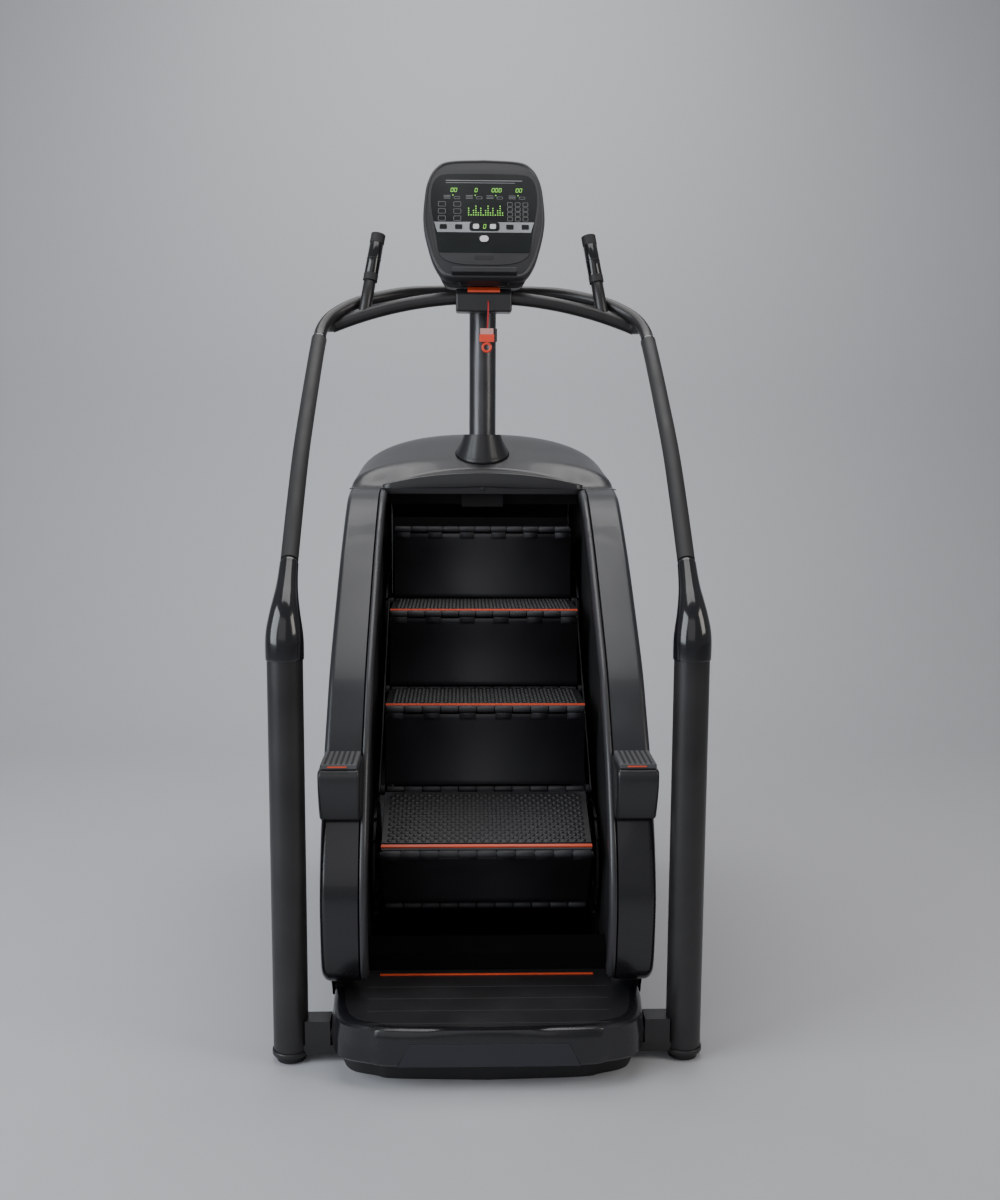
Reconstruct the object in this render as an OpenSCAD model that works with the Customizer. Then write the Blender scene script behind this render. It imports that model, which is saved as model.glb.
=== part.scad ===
// Stair climber with a revolving flight of steps, handrails and a console on a mast.
// Millimetres. Origin at the middle of the footprint on the floor, +Z up, user at -Y.

/* [Uprights and handrail] */
// Half the distance between the uprights
rail_x = 442; // [430:1:460]
// Fore and aft position of the uprights
upright_y = -629; // [-640:1:-620]
// Upright diameter
upright_d = 78; // [60:1:84]
// Handrail tube diameter
tube_d = 34; // [25:1:36]
// Rubber grip diameter on the handrail
grip_d = 39; // [37:1:42]

/* [Steps] */
// Depth of one tread
tread_depth = 242; // [230:1:250]
// Rise of one step
rise = 205.5; // [195:0.5:210]
// Width of the steps
step_w = 500; // [460:2:504]
// Thickness of the step plates
plate_t = 10; // [8:1:12]
// Pitch radius of the sprockets
sprocket_r = 150; // [146:1:152]

/* [Mast and console] */
// Mast diameter
mast_d = 77; // [70:1:80]
// Mast fore and aft position
mast_y = 412; // [405:1:420]
// Console width
console_w = 330; // [320:2:340]
// Console height along its face
console_h = 352; // [340:2:360]
// Lean of the console face from vertical, degrees
console_tilt = 20; // [15:1:25]

/* [Hidden] */
$fn = 64;
// How much prouder than its tube a weld ball is, in radius.
bead = 0.6;
shell_out = 374;
shell_in = 286;
wall_x = 280;
wall_t = 4;
skin = 4;
run_len = sqrt(tread_depth * tread_depth + rise * rise);
incline = atan(rise / tread_depth);
hinge2 = [11.5, 712];
along = [tread_depth, rise] / run_len;
inward = [rise, -tread_depth] / run_len;
hinge1 = hinge2 - run_len * along;
hinge3 = hinge2 + run_len * along;
nose2 = hinge1 + [0, rise];
nose3 = hinge2 + [0, rise];
first_tilt = 22.7;
last_tilt = 12;
nose1 = hinge1 - tread_depth * [cos(first_tilt), sin(first_tilt)];
riser1_foot = [-336.7, 244.6];
nose4 = [270.6, 1122];
lower_c = hinge1 - 102 * along + sprocket_r * inward;
upper_c = lower_c + 799 * along;
return_c = lower_c + sprocket_r * inward;
shaft_d = 30;
shaft_half = 304;
bearing_gap = 0.05;
console_at = [0, 180, 1808];
bracket_z = 1811;
pulley_x = 332;
speed_keys = [-22, 24];
speed_z = 149;
start_z = 116;
box_half = 77;
rail_in = 283;
rail_top = 100;
frame_front = -464;
frame_back = 700;
platform_half = 350;
platform_front = -794;
platform_back = -470;
deck_z = 96;
deck_top = 135;
chain_in = 263;
chain_out = 266.5;
knuckle_pitch = 45;
belt_big = 121.5;
belt_small = 31.5;
wheel_at = [725, 40];
cord_r = 2;
box_slope = atan(16 / 30);
// Route of the safety cord, straight out of its hole and down to the clip.
cord_pts = [[12, 232, 1750], [12, 225, 1750], [12, 218, 1749.5], [12, 212.5, 1747.5], [12, 209, 1743.5],
    [12, 207.6, 1738], [12, 207.2, 1732], [12, 207.2, 1725], [11.5, 207.4, 1718], [11.5, 207.7, 1710],
    [11, 208.2, 1703], [10.7, 208.9, 1696], [10.4, 209.7, 1690], [10.1, 210.4, 1685], [10, 211, 1680],
    [10, 211.5, 1676.2]];
alt_c = [620, 560];

rail_pts = [[rail_x, -604, 1000], [rail_x, -560, 1076], [rail_x, -527, 1114], [rail_x, -400, 1242],
    [rail_x, -275, 1355], [rail_x, -105, 1476], [rail_x, 55, 1583], [rail_x, 150, 1641]];
knee_pts = [[rail_x, 150, 1641], [438, 188, 1670], [422, 220, 1699], [396, 248, 1722],
    [352, 281, 1747], [296, 312, 1765], [215, 349, 1783], [120, 378, 1790], [0, 392, 1793]];
cross_sag = 82;
cross_half = rail_x - 24;
cross_d = 36;
cross_r = (cross_half * cross_half + cross_sag * cross_sag) / (2 * cross_sag);
cross_y = 250;
cross_top = 1763;
post_a = [330, 250, 1712];
post_b = [291, 310, 1940];

side_front = [[-560, 190], [-636, 253], [-648, 373], [-619, 478], [-574, 566], [-520, 657],
    [-440, 755], [-352, 852], [-189, 981], [-38, 1092], [153, 1208], [250, 1236]];
side_back = [[775, 1236], [797, 1120], [785, 700], [740, 190]];
split_z = 540;

// Sub-part to draw, or "all"

function rot2(v, a) = [v[0] * cos(a) - v[1] * sin(a), v[0] * sin(a) + v[1] * cos(a)];
function unit(v) = v / norm(v);

// Left end of knuckle i along a hinge.
function knuckle_x(i) = -5.5 * knuckle_pitch + knuckle_pitch * i;

// A round bar between two points.
module bar(a, b, d) {
    v = b - a;
    len = norm(v);
    translate(a)
        rotate([0, acos(v[2] / len), atan2(v[1], v[0])])
            cylinder(d = d, h = len);
}

// A bent tube with a slightly proud weld ball at every bend.
module tube_path(p, d) {
    $fn = 32;
    for (i = [0 : len(p) - 2])
        bar(p[i], p[i + 1], d);
    for (i = [1 : len(p) - 1])
        translate(p[i]) sphere(d = d + bead);
}

// A plate seen from the side: outline in Y and Z, thickness along X from x0 to x1.
module slab(x0, x1) {
    translate([x0, 0, 0])
        rotate([90, 0, 90])
            linear_extrude(x1 - x0) children();
}

module both_sides() {
    children();
    mirror([1, 0, 0]) children();
}

// A bar along X at a point given in Y and Z.
module rod(c, d, x0, x1) {
    translate([x0, c[0], c[1]])
        rotate([0, 90, 0]) cylinder(d = d, h = x1 - x0);
}

// A thin plate between two points of the side view, on its left side.
module plate(a, b, t, gap) {
    v = b - a;
    translate(a)
        rotate(atan2(v[1], v[0]))
            translate([gap, 0]) square([norm(v) - 2 * gap, t]);
}

module rounded(w, h, r) {
    translate([r, 0]) square([w - 2 * r, h]);
    translate([0, r]) square([w, h - 2 * r]);
    for (x = [r, w - r])
        for (y = [r, h - r])
            translate([x, y]) circle(r = r);
}

// ---- frame ----

module base_frame() {
    color("DimGray") {
        both_sides() {
            translate([rail_in, frame_front, 40]) cube([67, frame_back - frame_front, rail_top - 40]);
            translate([310, 0, 99]) cube([30, 40, 640]);
            translate([290, 500, 99]) cube([32, 40, 1121]);
            translate([310, 640, 20]) cube([40, 60, 21]);
            // Web under each shaft, bored round its bearing.
            for (c = [lower_c, upper_c])
                difference() {
                    translate([wall_x, c[0] - 60, 60]) cube([wall_t, 120, c[1]]);
                    rod(c, 44, wall_x - 1, wall_x + 6);
                }
        }
        translate([-350, 640, 40]) cube([700, 38, 60]);
        translate([-350, frame_front, 40]) cube([700, 40, 55]);
        translate([-320, 500, 1180]) cube([640, 40, 40]);
        translate([-60, 370, 1180]) cube([120, 131, 40]);
    }
}

module front_feet() {
    color("Black") both_sides() {
        translate([rail_x, upright_y, 0]) cylinder(d = upright_d - 14, h = 14);
        translate([325, 660, 0]) cylinder(d = 50, h = 20);
    }
}

module upright(side) {
    color("DimGray") mirror([side < 0 ? 1 : 0, 0, 0]) {
        difference() {
            translate([rail_x, upright_y, 14]) cylinder(d = upright_d, h = 896);
            translate([rail_x, upright_y, 60]) cylinder(d = upright_d - 6, h = 900);
        }
        translate([rail_x, upright_y, 14]) cylinder(d = upright_d + 4, h = 12);
        // Cross bar towards the middle and the socket block beside the platform.
        translate([300, upright_y - 24, 18]) cube([rail_x - 320, 48, 22]);
        translate([352, upright_y - 26, 40]) cube([rail_x - 352 - 34, 52, 56]);
        translate([300, upright_y - 15, 40]) cube([36, frame_front - upright_y + 15, 24]);
    }
}

// Tapered sleeve from the upright to the rail, leaning back as it narrows.
// Each row: start Y and Z, lower and upper diameter, length, lean in degrees.
sleeve_cones = [[-629, 948, 78, 66, 45, 5], [-627, 985, 65, 50, 60, 33], [-598, 1028, 49, 44, 58, 36],
    [-568, 1070, 43, 41, 52, 42]];

module sleeve(side) {
    mirror([side < 0 ? 1 : 0, 0, 0]) color("Black") {
        union() {
            translate([rail_x, upright_y, 910]) cylinder(d1 = 84, d2 = 82, h = 45);
            for (s = sleeve_cones)
                translate([rail_x, s[0], s[1]])
                    rotate([-s[5], 0, 0]) cylinder(d1 = s[2], d2 = s[3], h = s[4]);
        }
    }
}

module handrail() {
    color("DimGray") difference() {
        both_sides() {
            tube_path(rail_pts, tube_d);
            tube_path(knee_pts, tube_d);
        }
        translate([0, mast_y, 1700]) cylinder(d = mast_d, h = 200);
    }
}

module rail_grip(side) {
    mirror([side < 0 ? 1 : 0, 0, 0]) color("Black") for (i = [2 : 6]) {
        v = rail_pts[i + 1] - rail_pts[i];
        translate(rail_pts[i]) rotate([-atan2(v[1], v[2]), 0, 0]) difference() {
            cylinder(d = grip_d, h = norm(v) - 1.5);
            translate([0, 0, -1]) cylinder(d = tube_d + 2 * bead, h = norm(v) + 2);
        }
    }
}

// One shallow arch between the knees, with a post for each pulse grip.
module front_crossbar() {
    half_angle = asin(cross_half / cross_r);
    color("DimGray") difference() {
        translate([0, cross_y, cross_top - cross_r]) rotate([90, 0, 0]) rotate([0, 0, 90 - half_angle])
            rotate_extrude(angle = 2 * half_angle, $fn = 360) translate([cross_r, 0])
                circle(d = cross_d, $fn = 48);
        translate([-box_half, 200, 1700]) cube([2 * box_half, 100, 120]);
    }
    color("DimGray") both_sides() bar(post_a, post_a + 0.5 * (post_b - post_a), 26);
}

module pulse_grip(side) {
    v = post_b - post_a;
    mirror([side < 0 ? 1 : 0, 0, 0]) {
        color("Black") difference() {
            bar(post_a + 0.38 * v, post_b, 37);
            bar(post_a + 0.3 * v, post_a + 0.505 * v, 26.2);
        }
        color("DimGray") bar(post_a + 0.5 * v, post_a + 0.86 * v, 39);
        color("Black") translate(post_b) sphere(d = 37 + 2 * bead);
    }
}

module mast() {
    color("DimGray") difference() {
        translate([0, mast_y, 1220]) cylinder(d = mast_d, h = 600);
        translate([0, mast_y, 1210]) cylinder(d = mast_d - 6, h = 560);
    }
}

module mast_collar() {
    color("Black") difference() {
        translate([0, mast_y, 1290]) cylinder(d1 = 172, d2 = 108, h = 98);
        translate([0, mast_y, 1280]) cylinder(d = mast_d + 0.2, h = 120);
        // Cut to the slope of the cap it stands on.
        translate([-100, mast_y, 1334.8]) rotate([20.5, 0, 0])
            translate([0, -200, -100]) cube([200, 400, 100]);
    }
}

module console_bracket() {
    color("DimGray") {
        difference() {
            translate([-46, 292, bracket_z]) cube([92, 164, 45]);
            translate([0, mast_y, 1780]) cylinder(d = mast_d + 0.2, h = 40.1);
        }
        translate([-30, 300, 1738]) cube([60, 72, bracket_z - 1737]);
        on_console() translate([-60, 84.1, 40]) cube([120, 14, 100]);
    }
}

// ---- console ----

module on_console() {
    translate(console_at) rotate([-console_tilt, 0, 0]) children();
}

// Front outline of the console: widest above the middle, drawn in at the foot.
module console_outline() {
    w = console_w / 2;
    h = console_h;
    half = [[0.60, 0], [0.79, 0.022], [0.89, 0.10], [0.95, 0.21], [1.0, 0.43], [0.985, 0.67],
        [0.93, 0.82], [0.80, 0.93], [0.58, 0.985], [0, 1]];
    left = [for (i = [len(half) - 2 : -1 : 0]) [-half[i][0] * w, half[i][1] * h]];
    polygon(concat([for (p = half) [p[0] * w, p[1] * h]], left));
}

// The glossy overlay covers the face above the lower bezel.
module overlay_outline() {
    polygon([[-126, 84], [126, 84], [138, 110], [150, 190], [148, 262], [134, 304], [104, 320],
        [-104, 320], [-134, 304], [-148, 262], [-150, 190], [-138, 110]]);
}

module key_holes(front) {
    for (x = speed_keys)
        translate([x - 4.6, front, speed_z - 0.6]) cube([9.2, 16, 9.2]);
    translate([0, 14, start_z]) rotate([90, 0, 0]) cylinder(d = 30.8, h = 20);
}

module console_body() {
    color("DimGray") on_console() difference() {
        union() {
            translate([0, 40, 0]) rotate([90, 0, 0]) linear_extrude(40) console_outline();
            translate([0, 84, 24]) rotate([90, 0, 0]) linear_extrude(48) scale(0.86) console_outline();
            // Ledge along the foot of the face.
            translate([-92, -22, 4]) cube([184, 26, 7]);
        }
        translate([0, 4, 0]) rotate([90, 0, 0]) linear_extrude(5) offset(delta = 0.4) overlay_outline();
        key_holes(-1);
        translate([-27, -1, 66]) cube([54, 4, 8]);
    }
}

module console_overlay() {
    color("Black") on_console() difference() {
        translate([0, 3.9, 0]) rotate([90, 0, 0]) linear_extrude(4.9) overlay_outline();
        key_holes(-3);
    }
}

module start_button() {
    color("White") on_console() {
        translate([0, 1, start_z]) rotate([90, 0, 0]) cylinder(d = 30, h = 5);
        translate([0, 8, start_z]) rotate([90, 0, 0]) cylinder(d = 20, h = 8);
    }
}

module speed_key(x) {
    color("White") on_console() translate([x - 4, -3.5, speed_z]) cube([8, 9, 8]);
}

// ---- stop and safety cord ----

module safety_box() {
    color("DimGray") difference() {
        slab(-box_half, box_half)
            polygon([[224, 1722], [300, 1722], [300, 1782], [256, 1788], [226, 1772]]);
        translate([-45, 226, 1772]) rotate([box_slope, 0, 0]) translate([0, 6, -7]) cube([90, 24, 20]);
        translate([12, 220, 1750]) rotate([-90, 0, 0]) cylinder(d = 7, h = 20);
    }
}

module stop_bar() {
    color("OrangeRed") translate([-44.4, 226, 1772]) rotate([box_slope, 0, 0])
        translate([0, 6.6, -3]) cube([88.8, 22.8, 8]);
}

module safety_cord() {
    sides = 8;
    n = len(cord_pts);
    dirs = [for (i = [0 : n - 1]) unit(cord_pts[min(i + 1, n - 1)] - cord_pts[max(i - 1, 0)])];
    rings = [for (i = [0 : n - 1])
        for (k = [0 : sides - 1])
            cord_pts[i] + cord_r * (cos(360 * k / sides) * [1, 0, 0]
                + sin(360 * k / sides) * cross(dirs[i], [1, 0, 0]))];
    walls = [for (i = [0 : n - 2])
        for (k = [0 : sides - 1])
            [i * sides + k, i * sides + (k + 1) % sides,
                (i + 1) * sides + (k + 1) % sides, (i + 1) * sides + k]];
    near_end = [for (k = [0 : sides - 1]) sides - 1 - k];
    far_end = [for (k = [0 : sides - 1]) (n - 1) * sides + k];
    color("Red") polyhedron(rings, concat([near_end], walls, [far_end]));
}

module safety_clip() {
    color("MistyRose") translate([-10, 207, 1660]) cube([36, 9, 16.2]);
    color("OrangeRed") {
        translate([-12, 206, 1640]) cube([40, 11, 20]);
        translate([8, 211.5, 1625]) rotate([0, 90, 90]) rotate_extrude() translate([11, 0]) circle(r = 3.4);
        translate([4, 208, 1633]) cube([8, 7, 8]);
    }
}

module clip_lever() {
    color("Black") {
        translate([31, 207, 1640]) cube([5, 9, 36]);
        translate([31, 206.5, 1658.5]) rotate([-90, 0, 0]) cylinder(d = 5, h = 10);
    }
}

// ---- body ----

module panel_2d() {
    polygon(concat(side_front, side_back));
}

module shell_part(z0, z1) {
    intersection() {
        difference() {
            slab(shell_in, shell_out) panel_2d();
            slab(shell_in - 1, shell_out - skin) offset(delta = -skin) panel_2d();
        }
        translate([0, -900, z0]) cube([500, 1800, z1 - z0]);
    }
}

module side_cut() {
    slab(shell_in - 6, shell_out + 6)
        polygon([[-700, split_z], [-500, split_z], [-500, 700], [-700, 700]]);
}

module side_shell(side) {
    mirror([side < 0 ? 1 : 0, 0, 0]) color("DimGray") difference() {
        shell_part(split_z + 0.3, 1300);
        side_cut();
    }
}

module lower_shell(side) {
    mirror([side < 0 ? 1 : 0, 0, 0]) color("Black") difference() {
        shell_part(150, split_z);
        translate([309, -1, 180]) cube([32, 42, 20]);
        translate([289, 499, 180]) cube([34, 42, 20]);
    }
}

module side_cap(side) {
    mirror([side < 0 ? 1 : 0, 0, 0]) {
        color("DimGray") slab(286.3, 376)
            polygon([[-600, split_z + 0.5], [-640, 640], [-641, 664], [-500.5, 668],
                [-500.5, split_z + 0.5]]);
        color("DarkGray") slab(289, 370)
            polygon([[-636, 664], [-636, 672], [-508, 677], [-508, 668]]);
    }
}

// Lighter trim and shaft wall between the shell and the steps.
module inner_trim(side) {
    mirror([side < 0 ? 1 : 0, 0, 0]) color("Gray") difference() {
        union() {
            slab(wall_x + wall_t + 0.5, shell_in - 0.3) panel_2d();
            slab(268, shell_in - 1) intersection() {
                difference() {
                    panel_2d();
                    translate([28, -19]) panel_2d();
                }
                translate([-700, 212]) square([982, 1030]);
            }
        }
        for (c = [lower_c, upper_c])
            rod(c, 44, wall_x - 1, shell_in + 1);
        rod(alt_c, 60, wall_x - 1, shell_in + 1);
        translate([267, 498, 1178]) cube([20, 44, 44]);
    }
}

module cap_front() {
    w = 377;
    polygon([[-w, 1237], [w, 1237], [w - 6, 1262], [w - 24, 1300], [w - 52, 1325], [w - 96, 1348],
        [w - 160, 1367], [w - 250, 1380], [0, 1386], [250 - w, 1380], [160 - w, 1367],
        [96 - w, 1348], [52 - w, 1325], [24 - w, 1300], [6 - w, 1262]]);
}

module cap_solid(t) {
    intersection() {
        slab(-377 + t, 377 - t)
            polygon([[252 + t, 1200], [252 + t, 1238 - t], [286 + t, 1286 - t], [440, 1344 - t],
                [550, 1386 - t], [640, 1378 - t], [740, 1330 - t], [797 - t, 1237], [797 - t, 1200]]);
        translate([0, 900, -t]) rotate([90, 0, 0]) linear_extrude(800) union() {
            cap_front();
            translate([-377 + t, 1200]) square([754 - 2 * t, 38]);
        }
        translate([0, 0, 1100]) linear_extrude(400) union() {
            translate([-377 + t, 200]) square([754 - 2 * t, 400]);
            translate([-377 + t, 420 + t]) rounded(754 - 2 * t, 377 - 2 * t, 120);
        }
    }
}

module top_cap() {
    color("DimGray") difference() {
        intersection() {
            cap_solid(0);
            translate([-400, 200, 1236.5]) cube([800, 700, 200]);
        }
        translate([0, 0, -0.1]) cap_solid(5);
        translate([0, mast_y, 1200]) cylinder(d = mast_d + 3, h = 200);
        translate([-283, 200, 1200]) cube([566, 84, 200]);
    }
    color("DimGray") translate([-283, 284, 1216]) cube([566, 6, 63]);
}

module rear_cover() {
    color("DimGray") difference() {
        slab(-wall_x - 4, wall_x + 4)
            polygon(concat(side_back, [[735, 190], [780, 700], [792, 1120], [771, 1236]]));
        for (i = [0 : 5])
            translate([-90, 700, 380 + 24 * i]) cube([180, 100, 8]);
        translate([-222, 700, 198]) cube([64, 100, 54]);
    }
}

// Dark skirt below the shells and kick panel under the lowest step.
module base_skirt() {
    color("Black") {
        both_sides() {
            slab(354, 358) polygon([[-560, 188], [-530, 104], [720, 104], [738, 188]]);
            translate([284, 640, rail_top]) cube([72, 30, 8]);
            translate([284, frame_front, rail_top]) cube([72, 30, 8]);
            translate([rail_in, frame_front, 104]) cube([4, 34, 84]);
        }
        slab(-283, 283) polygon([[-464, 95], [-458, 95], [-448, 170], [-432, 206], [-438, 206], [-454, 170]]);
    }
}

// ---- platform ----

module platform_2d(g) {
    w = platform_half + g;
    f = platform_front - g;
    half = [[w, platform_back], [w, f + 194], [w - 10, f + 104], [w - 34, f + 49], [w - 90, f + 24],
        [200, f + 10], [0, f]];
    left = [for (i = [len(half) - 2 : -1 : 0]) [-half[i][0], half[i][1]]];
    polygon(concat(half, left));
}

// Plinth outline: set in from the front, flush with the platform's back edge.
module plinth_2d() {
    intersection() {
        translate([0, 39]) platform_2d(-15);
        translate([-400, platform_front]) square([800, platform_back - platform_front]);
    }
}

module platform() {
    color("Black") difference() {
        union() {
            translate([0, 0, deck_z]) linear_extrude(deck_top - deck_z) platform_2d(-3);
            difference() {
                translate([0, 0, 52]) linear_extrude(44) platform_2d(3);
                translate([0, 0, 51]) linear_extrude(46) offset(delta = -8) platform_2d(3);
            }
        }
        for (i = [0 : 3])
            translate([-260, -752 + 62 * i, 132]) cube([520, 5, 5]);
        // Sloped recess in the middle of the front edge.
        translate([-170, -830, 40]) cube([340, 60, 66]);
        both_sides() translate([299, upright_y - 50, 30]) cube([60, 280, 67]);
    }
    color("DimGray") difference() {
        linear_extrude(50) plinth_2d();
        translate([0, 0, -1]) linear_extrude(60) offset(delta = -8) plinth_2d();
        both_sides() translate([290, upright_y - 50, 14]) cube([60, 280, 67]);
        both_sides() translate([280, -500, 14]) cube([60, 100, 67]);
    }
    color("DimGray") both_sides() {
        translate([240, -700, 45]) cube([30, 120, 52]);
        translate([262, -700, 44]) cube([20, 18, 6]);
    }
}

module platform_insert() {
    color("MidnightBlue") slab(-169.6, 169.6)
        polygon([[-770.4, 56], [-770.4, 105.6], [-777, 105.6], [-790, 56]]);
}

module platform_strip() {
    color("OrangeRed") translate([-250, -506, deck_top]) cube([500, 14, 6]);
}

// ---- steps ----

module tread_2d(hinge, nose, start) {
    v = nose - hinge;
    translate(hinge) rotate(atan2(v[1], v[0]))
        translate([start, -4]) square([norm(v) - start - 17, plate_t]);
}

module hinge_tabs(c) {
    for (i = [0 : 10])
        rod(c, 16, knuckle_x(i), knuckle_x(i + 1) - 1);
}

module tread_solid(hinge, nose, start) {
    half = step_w / 2;
    slab(-half, half) tread_2d(hinge, nose, start);
}

module riser_solid(top, foot) {
    half = step_w / 2;
    v = foot - top;
    len = norm(v);
    r = 1.6 * len;
    slab(-half, half) intersection() {
        translate(top) rotate(atan2(v[1], v[0])) translate([11, -16]) square([len - 30, 32]);
        translate(top) rotate(atan2(v[1], v[0])) translate([len / 2, -r + 14]) difference() {
            circle(r = r);
            circle(r = r - 5);
        }
    }
}

module step_run() {
    half = step_w / 2;
    color("Black") {
        for (p = [[hinge2, nose2], [hinge3, nose3]]) {
            tread_solid(p[0], p[1], 4);
            slab(-half, half) translate(p[1] + [3, -6]) square([18, 12]);
        }
        for (p = [[nose2, hinge1], [nose3, hinge2]])
            slab(-half, half) translate(p[1] + [-6, 9]) square([6, rise - 9]);
        for (c = [hinge1, hinge2, hinge3])
            rod(c, 10, -269, 269);
        for (c = [hinge2, nose2, nose3])
            hinge_tabs(c);
        for (i = [0 : 2 : 10])
            rod(hinge1, 16, knuckle_x(i), knuckle_x(i) + 44);
        for (i = [0 : 2 : 10])
            translate([knuckle_x(i), hinge1[0] - 6, hinge1[1] + 4]) cube([44, 6, 10]);
    }
}

module step_strips() {
    half = step_w / 2;
    color("OrangeRed") for (n = [nose2, nose3])
        translate([-half, n[0] + 8.3, n[1] + 6.1]) cube([step_w, 15, 5]);
}

// Straight upper chain runs, one each side, bored for the hinge rods.
module step_chain() {
    color("Gray") both_sides() slab(chain_in, chain_out) difference() {
        union() {
            translate(hinge1) rotate(incline) translate([0, -9]) square([2 * run_len, 18]);
            for (c = [hinge1, hinge2, hinge3])
                translate(c) circle(r = 11);
        }
        for (c = [hinge1, hinge2, hinge3])
            translate(c) circle(r = 5.1);
    }
}

module tread_1() {
    color("Black") {
        tread_solid(hinge1, nose1, 15);
        for (i = [1 : 2 : 9])
            difference() {
                union() {
                    rod(hinge1, 16, knuckle_x(i) + 0.5, knuckle_x(i) + 43.5);
                    translate([knuckle_x(i) + 0.5, hinge1[0] - 20, hinge1[1] - 8]) cube([43, 14, 8]);
                }
                rod(hinge1, 10.1, -300, 300);
            }
        for (i = [1 : 2 : 9])
            rod(nose1, 16, knuckle_x(i) + 0.5, knuckle_x(i) + 43.5);
        for (i = [1 : 2 : 9])
            translate([knuckle_x(i) + 0.5, nose1[0], nose1[1] + 1]) cube([43, 24, 6]);
        rod(nose1, 10, -250, 250);
    }
}

module tread_1_strip() {
    color("OrangeRed") translate([0, nose1[0], nose1[1]]) rotate([first_tilt, 0, 0])
        translate([-step_w / 2, 14.5, 4.1]) cube([step_w, 14, 6]);
}

// Knuckles of a hanging riser, bored for the hinge rod it turns on.
module riser_knuckles(c) {
    for (i = [0 : 2 : 10])
        difference() {
            union() {
                rod(c, 16, knuckle_x(i) + 0.5, knuckle_x(i) + 43.5);
                translate([knuckle_x(i) + 0.5, c[0] - 2, c[1] - 17]) cube([43, 6, 12]);
            }
            rod(c, 10.1, -300, 300);
        }
}

module riser_1() {
    color("Black") {
        riser_knuckles(nose1);
        riser_solid(nose1, riser1_foot);
    }
}

module riser_4() {
    color("Black") {
        riser_knuckles_4();
        slab(-step_w / 2, step_w / 2) plate(nose4, hinge3, 5, 11);
        rod(nose4, 10, -250, 250);
    }
}

module riser_knuckles_4() {
    for (i = [1 : 2 : 9]) {
        rod(nose4, 16, knuckle_x(i) + 0.5, knuckle_x(i) + 43.5);
        translate([knuckle_x(i) + 0.5, nose4[0] - 5, nose4[1] - 18]) cube([43, 8, 14]);
    }
}

module tread_4() {
    back = nose4 + tread_depth * [cos(last_tilt), -sin(last_tilt)];
    color("Black") {
        slab(-step_w / 2, step_w / 2) plate(nose4 + [0, -5], back, plate_t, 10);
        for (i = [0 : 2 : 10])
            difference() {
                union() {
                    rod(nose4, 16, knuckle_x(i) + 0.5, knuckle_x(i) + 43.5);
                    translate([knuckle_x(i) + 0.5, nose4[0], nose4[1] - 4]) cube([43, 13, 8]);
                }
                rod(nose4, 10.1, -300, 300);
            }
    }
}

// Folded steps going back down underneath.
module return_run() {
    color("Black") for (i = [0 : 1]) {
        h0 = return_c + (60 + i * run_len) * along;
        h1 = h0 + run_len * along;
        n = h1 + rot2(-tread_depth * along, incline);
        slab(-step_w / 2, step_w / 2) {
            plate(h1, n, 8, 0);
            plate(n, h0, 6, 0);
        }
        rod(h1, 12, -269, 269);
        rod(h0, 12, -269, 269);
        rod(n, 14, -250, 250);
    }
    color("Gray") both_sides() slab(chain_in, chain_out)
        translate(return_c + 60 * along) rotate(incline) translate([0, -9]) square([2 * run_len, 18]);
}

module sprocket_shaft(c) {
    color("Gray") {
        rod(c, shaft_d, -shaft_half, shaft_half);
        both_sides() {
            slab(270, 276) difference() {
                translate(c) circle(r = sprocket_r - 12);
                for (a = [30 : 60 : 330])
                    translate(c + 85 * [cos(a), sin(a)]) circle(r = 24);
            }
            for (a = [0 : 24 : 336])
                slab(270, 276) translate(c) rotate(a) translate([sprocket_r - 14, -5]) square([10, 10]);
        }
    }
}

module lower_shaft() {
    sprocket_shaft(lower_c);
}

module upper_shaft() {
    sprocket_shaft(upper_c);
    color("DimGray") {
        rod(upper_c, shaft_d, shaft_half - 1, 350);
        rod(upper_c, 240, pulley_x, pulley_x + 16);
    }
}

module bearings() {
    color("Silver") both_sides() for (c = [lower_c, upper_c])
        difference() {
            union() {
                rod(c, 43.8, wall_x, 300);
                rod(c, 62, wall_x + wall_t + 2.4, 294);
            }
            rod(c, shaft_d + 2 * bearing_gap, wall_x - 2, 310);
        }
}

module belt_2d(g) {
    v = alt_c - upper_c;
    len = norm(v);
    big = belt_big + g;
    small = belt_small + g;
    lean = asin((belt_big - belt_small) / len);
    translate(upper_c) circle(r = big);
    translate(alt_c) circle(r = small);
    // Tangent sides of the belt.
    translate(upper_c) rotate(atan2(v[1], v[0]))
        polygon([big * [sin(lean), cos(lean)], big * [sin(lean), -cos(lean)],
            [len, 0] + small * [sin(lean), -cos(lean)], [len, 0] + small * [sin(lean), cos(lean)]]);
}

module drive_belt() {
    color("Black") slab(pulley_x + 2, pulley_x + 14) difference() {
        belt_2d(2.5);
        belt_2d(-1);
    }
}

module alternator() {
    color("Silver") difference() {
        union() {
            rod(alt_c, 110, 190, 275);
            rod(alt_c, 50, 274, 318);
            translate([190, alt_c[0] - 30, 100]) cube([80, 60, alt_c[1] - 140]);
            translate([190, alt_c[0] - 30, 80]) cube([93, 48, 24]);
        }
        rod(alt_c, 17.1, 262, 330);
    }
}

module alternator_pulley() {
    color("DimGray") {
        rod(alt_c, 17, 264, 350);
        rod(alt_c, 60, pulley_x, pulley_x + 16);
    }
}

// ---- rear running gear ----

module wheel_axle() {
    color("Silver") both_sides() {
        rod(wheel_at, 12, 240, 296);
        translate([284, 700, 34]) cube([10, 32, 14]);
    }
}

module wheel(side) {
    mirror([side < 0 ? 1 : 0, 0, 0]) color("Black") difference() {
        rod(wheel_at, 70, 246, 276);
        rod(wheel_at, 12.1, 240, 280);
    }
}

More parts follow.
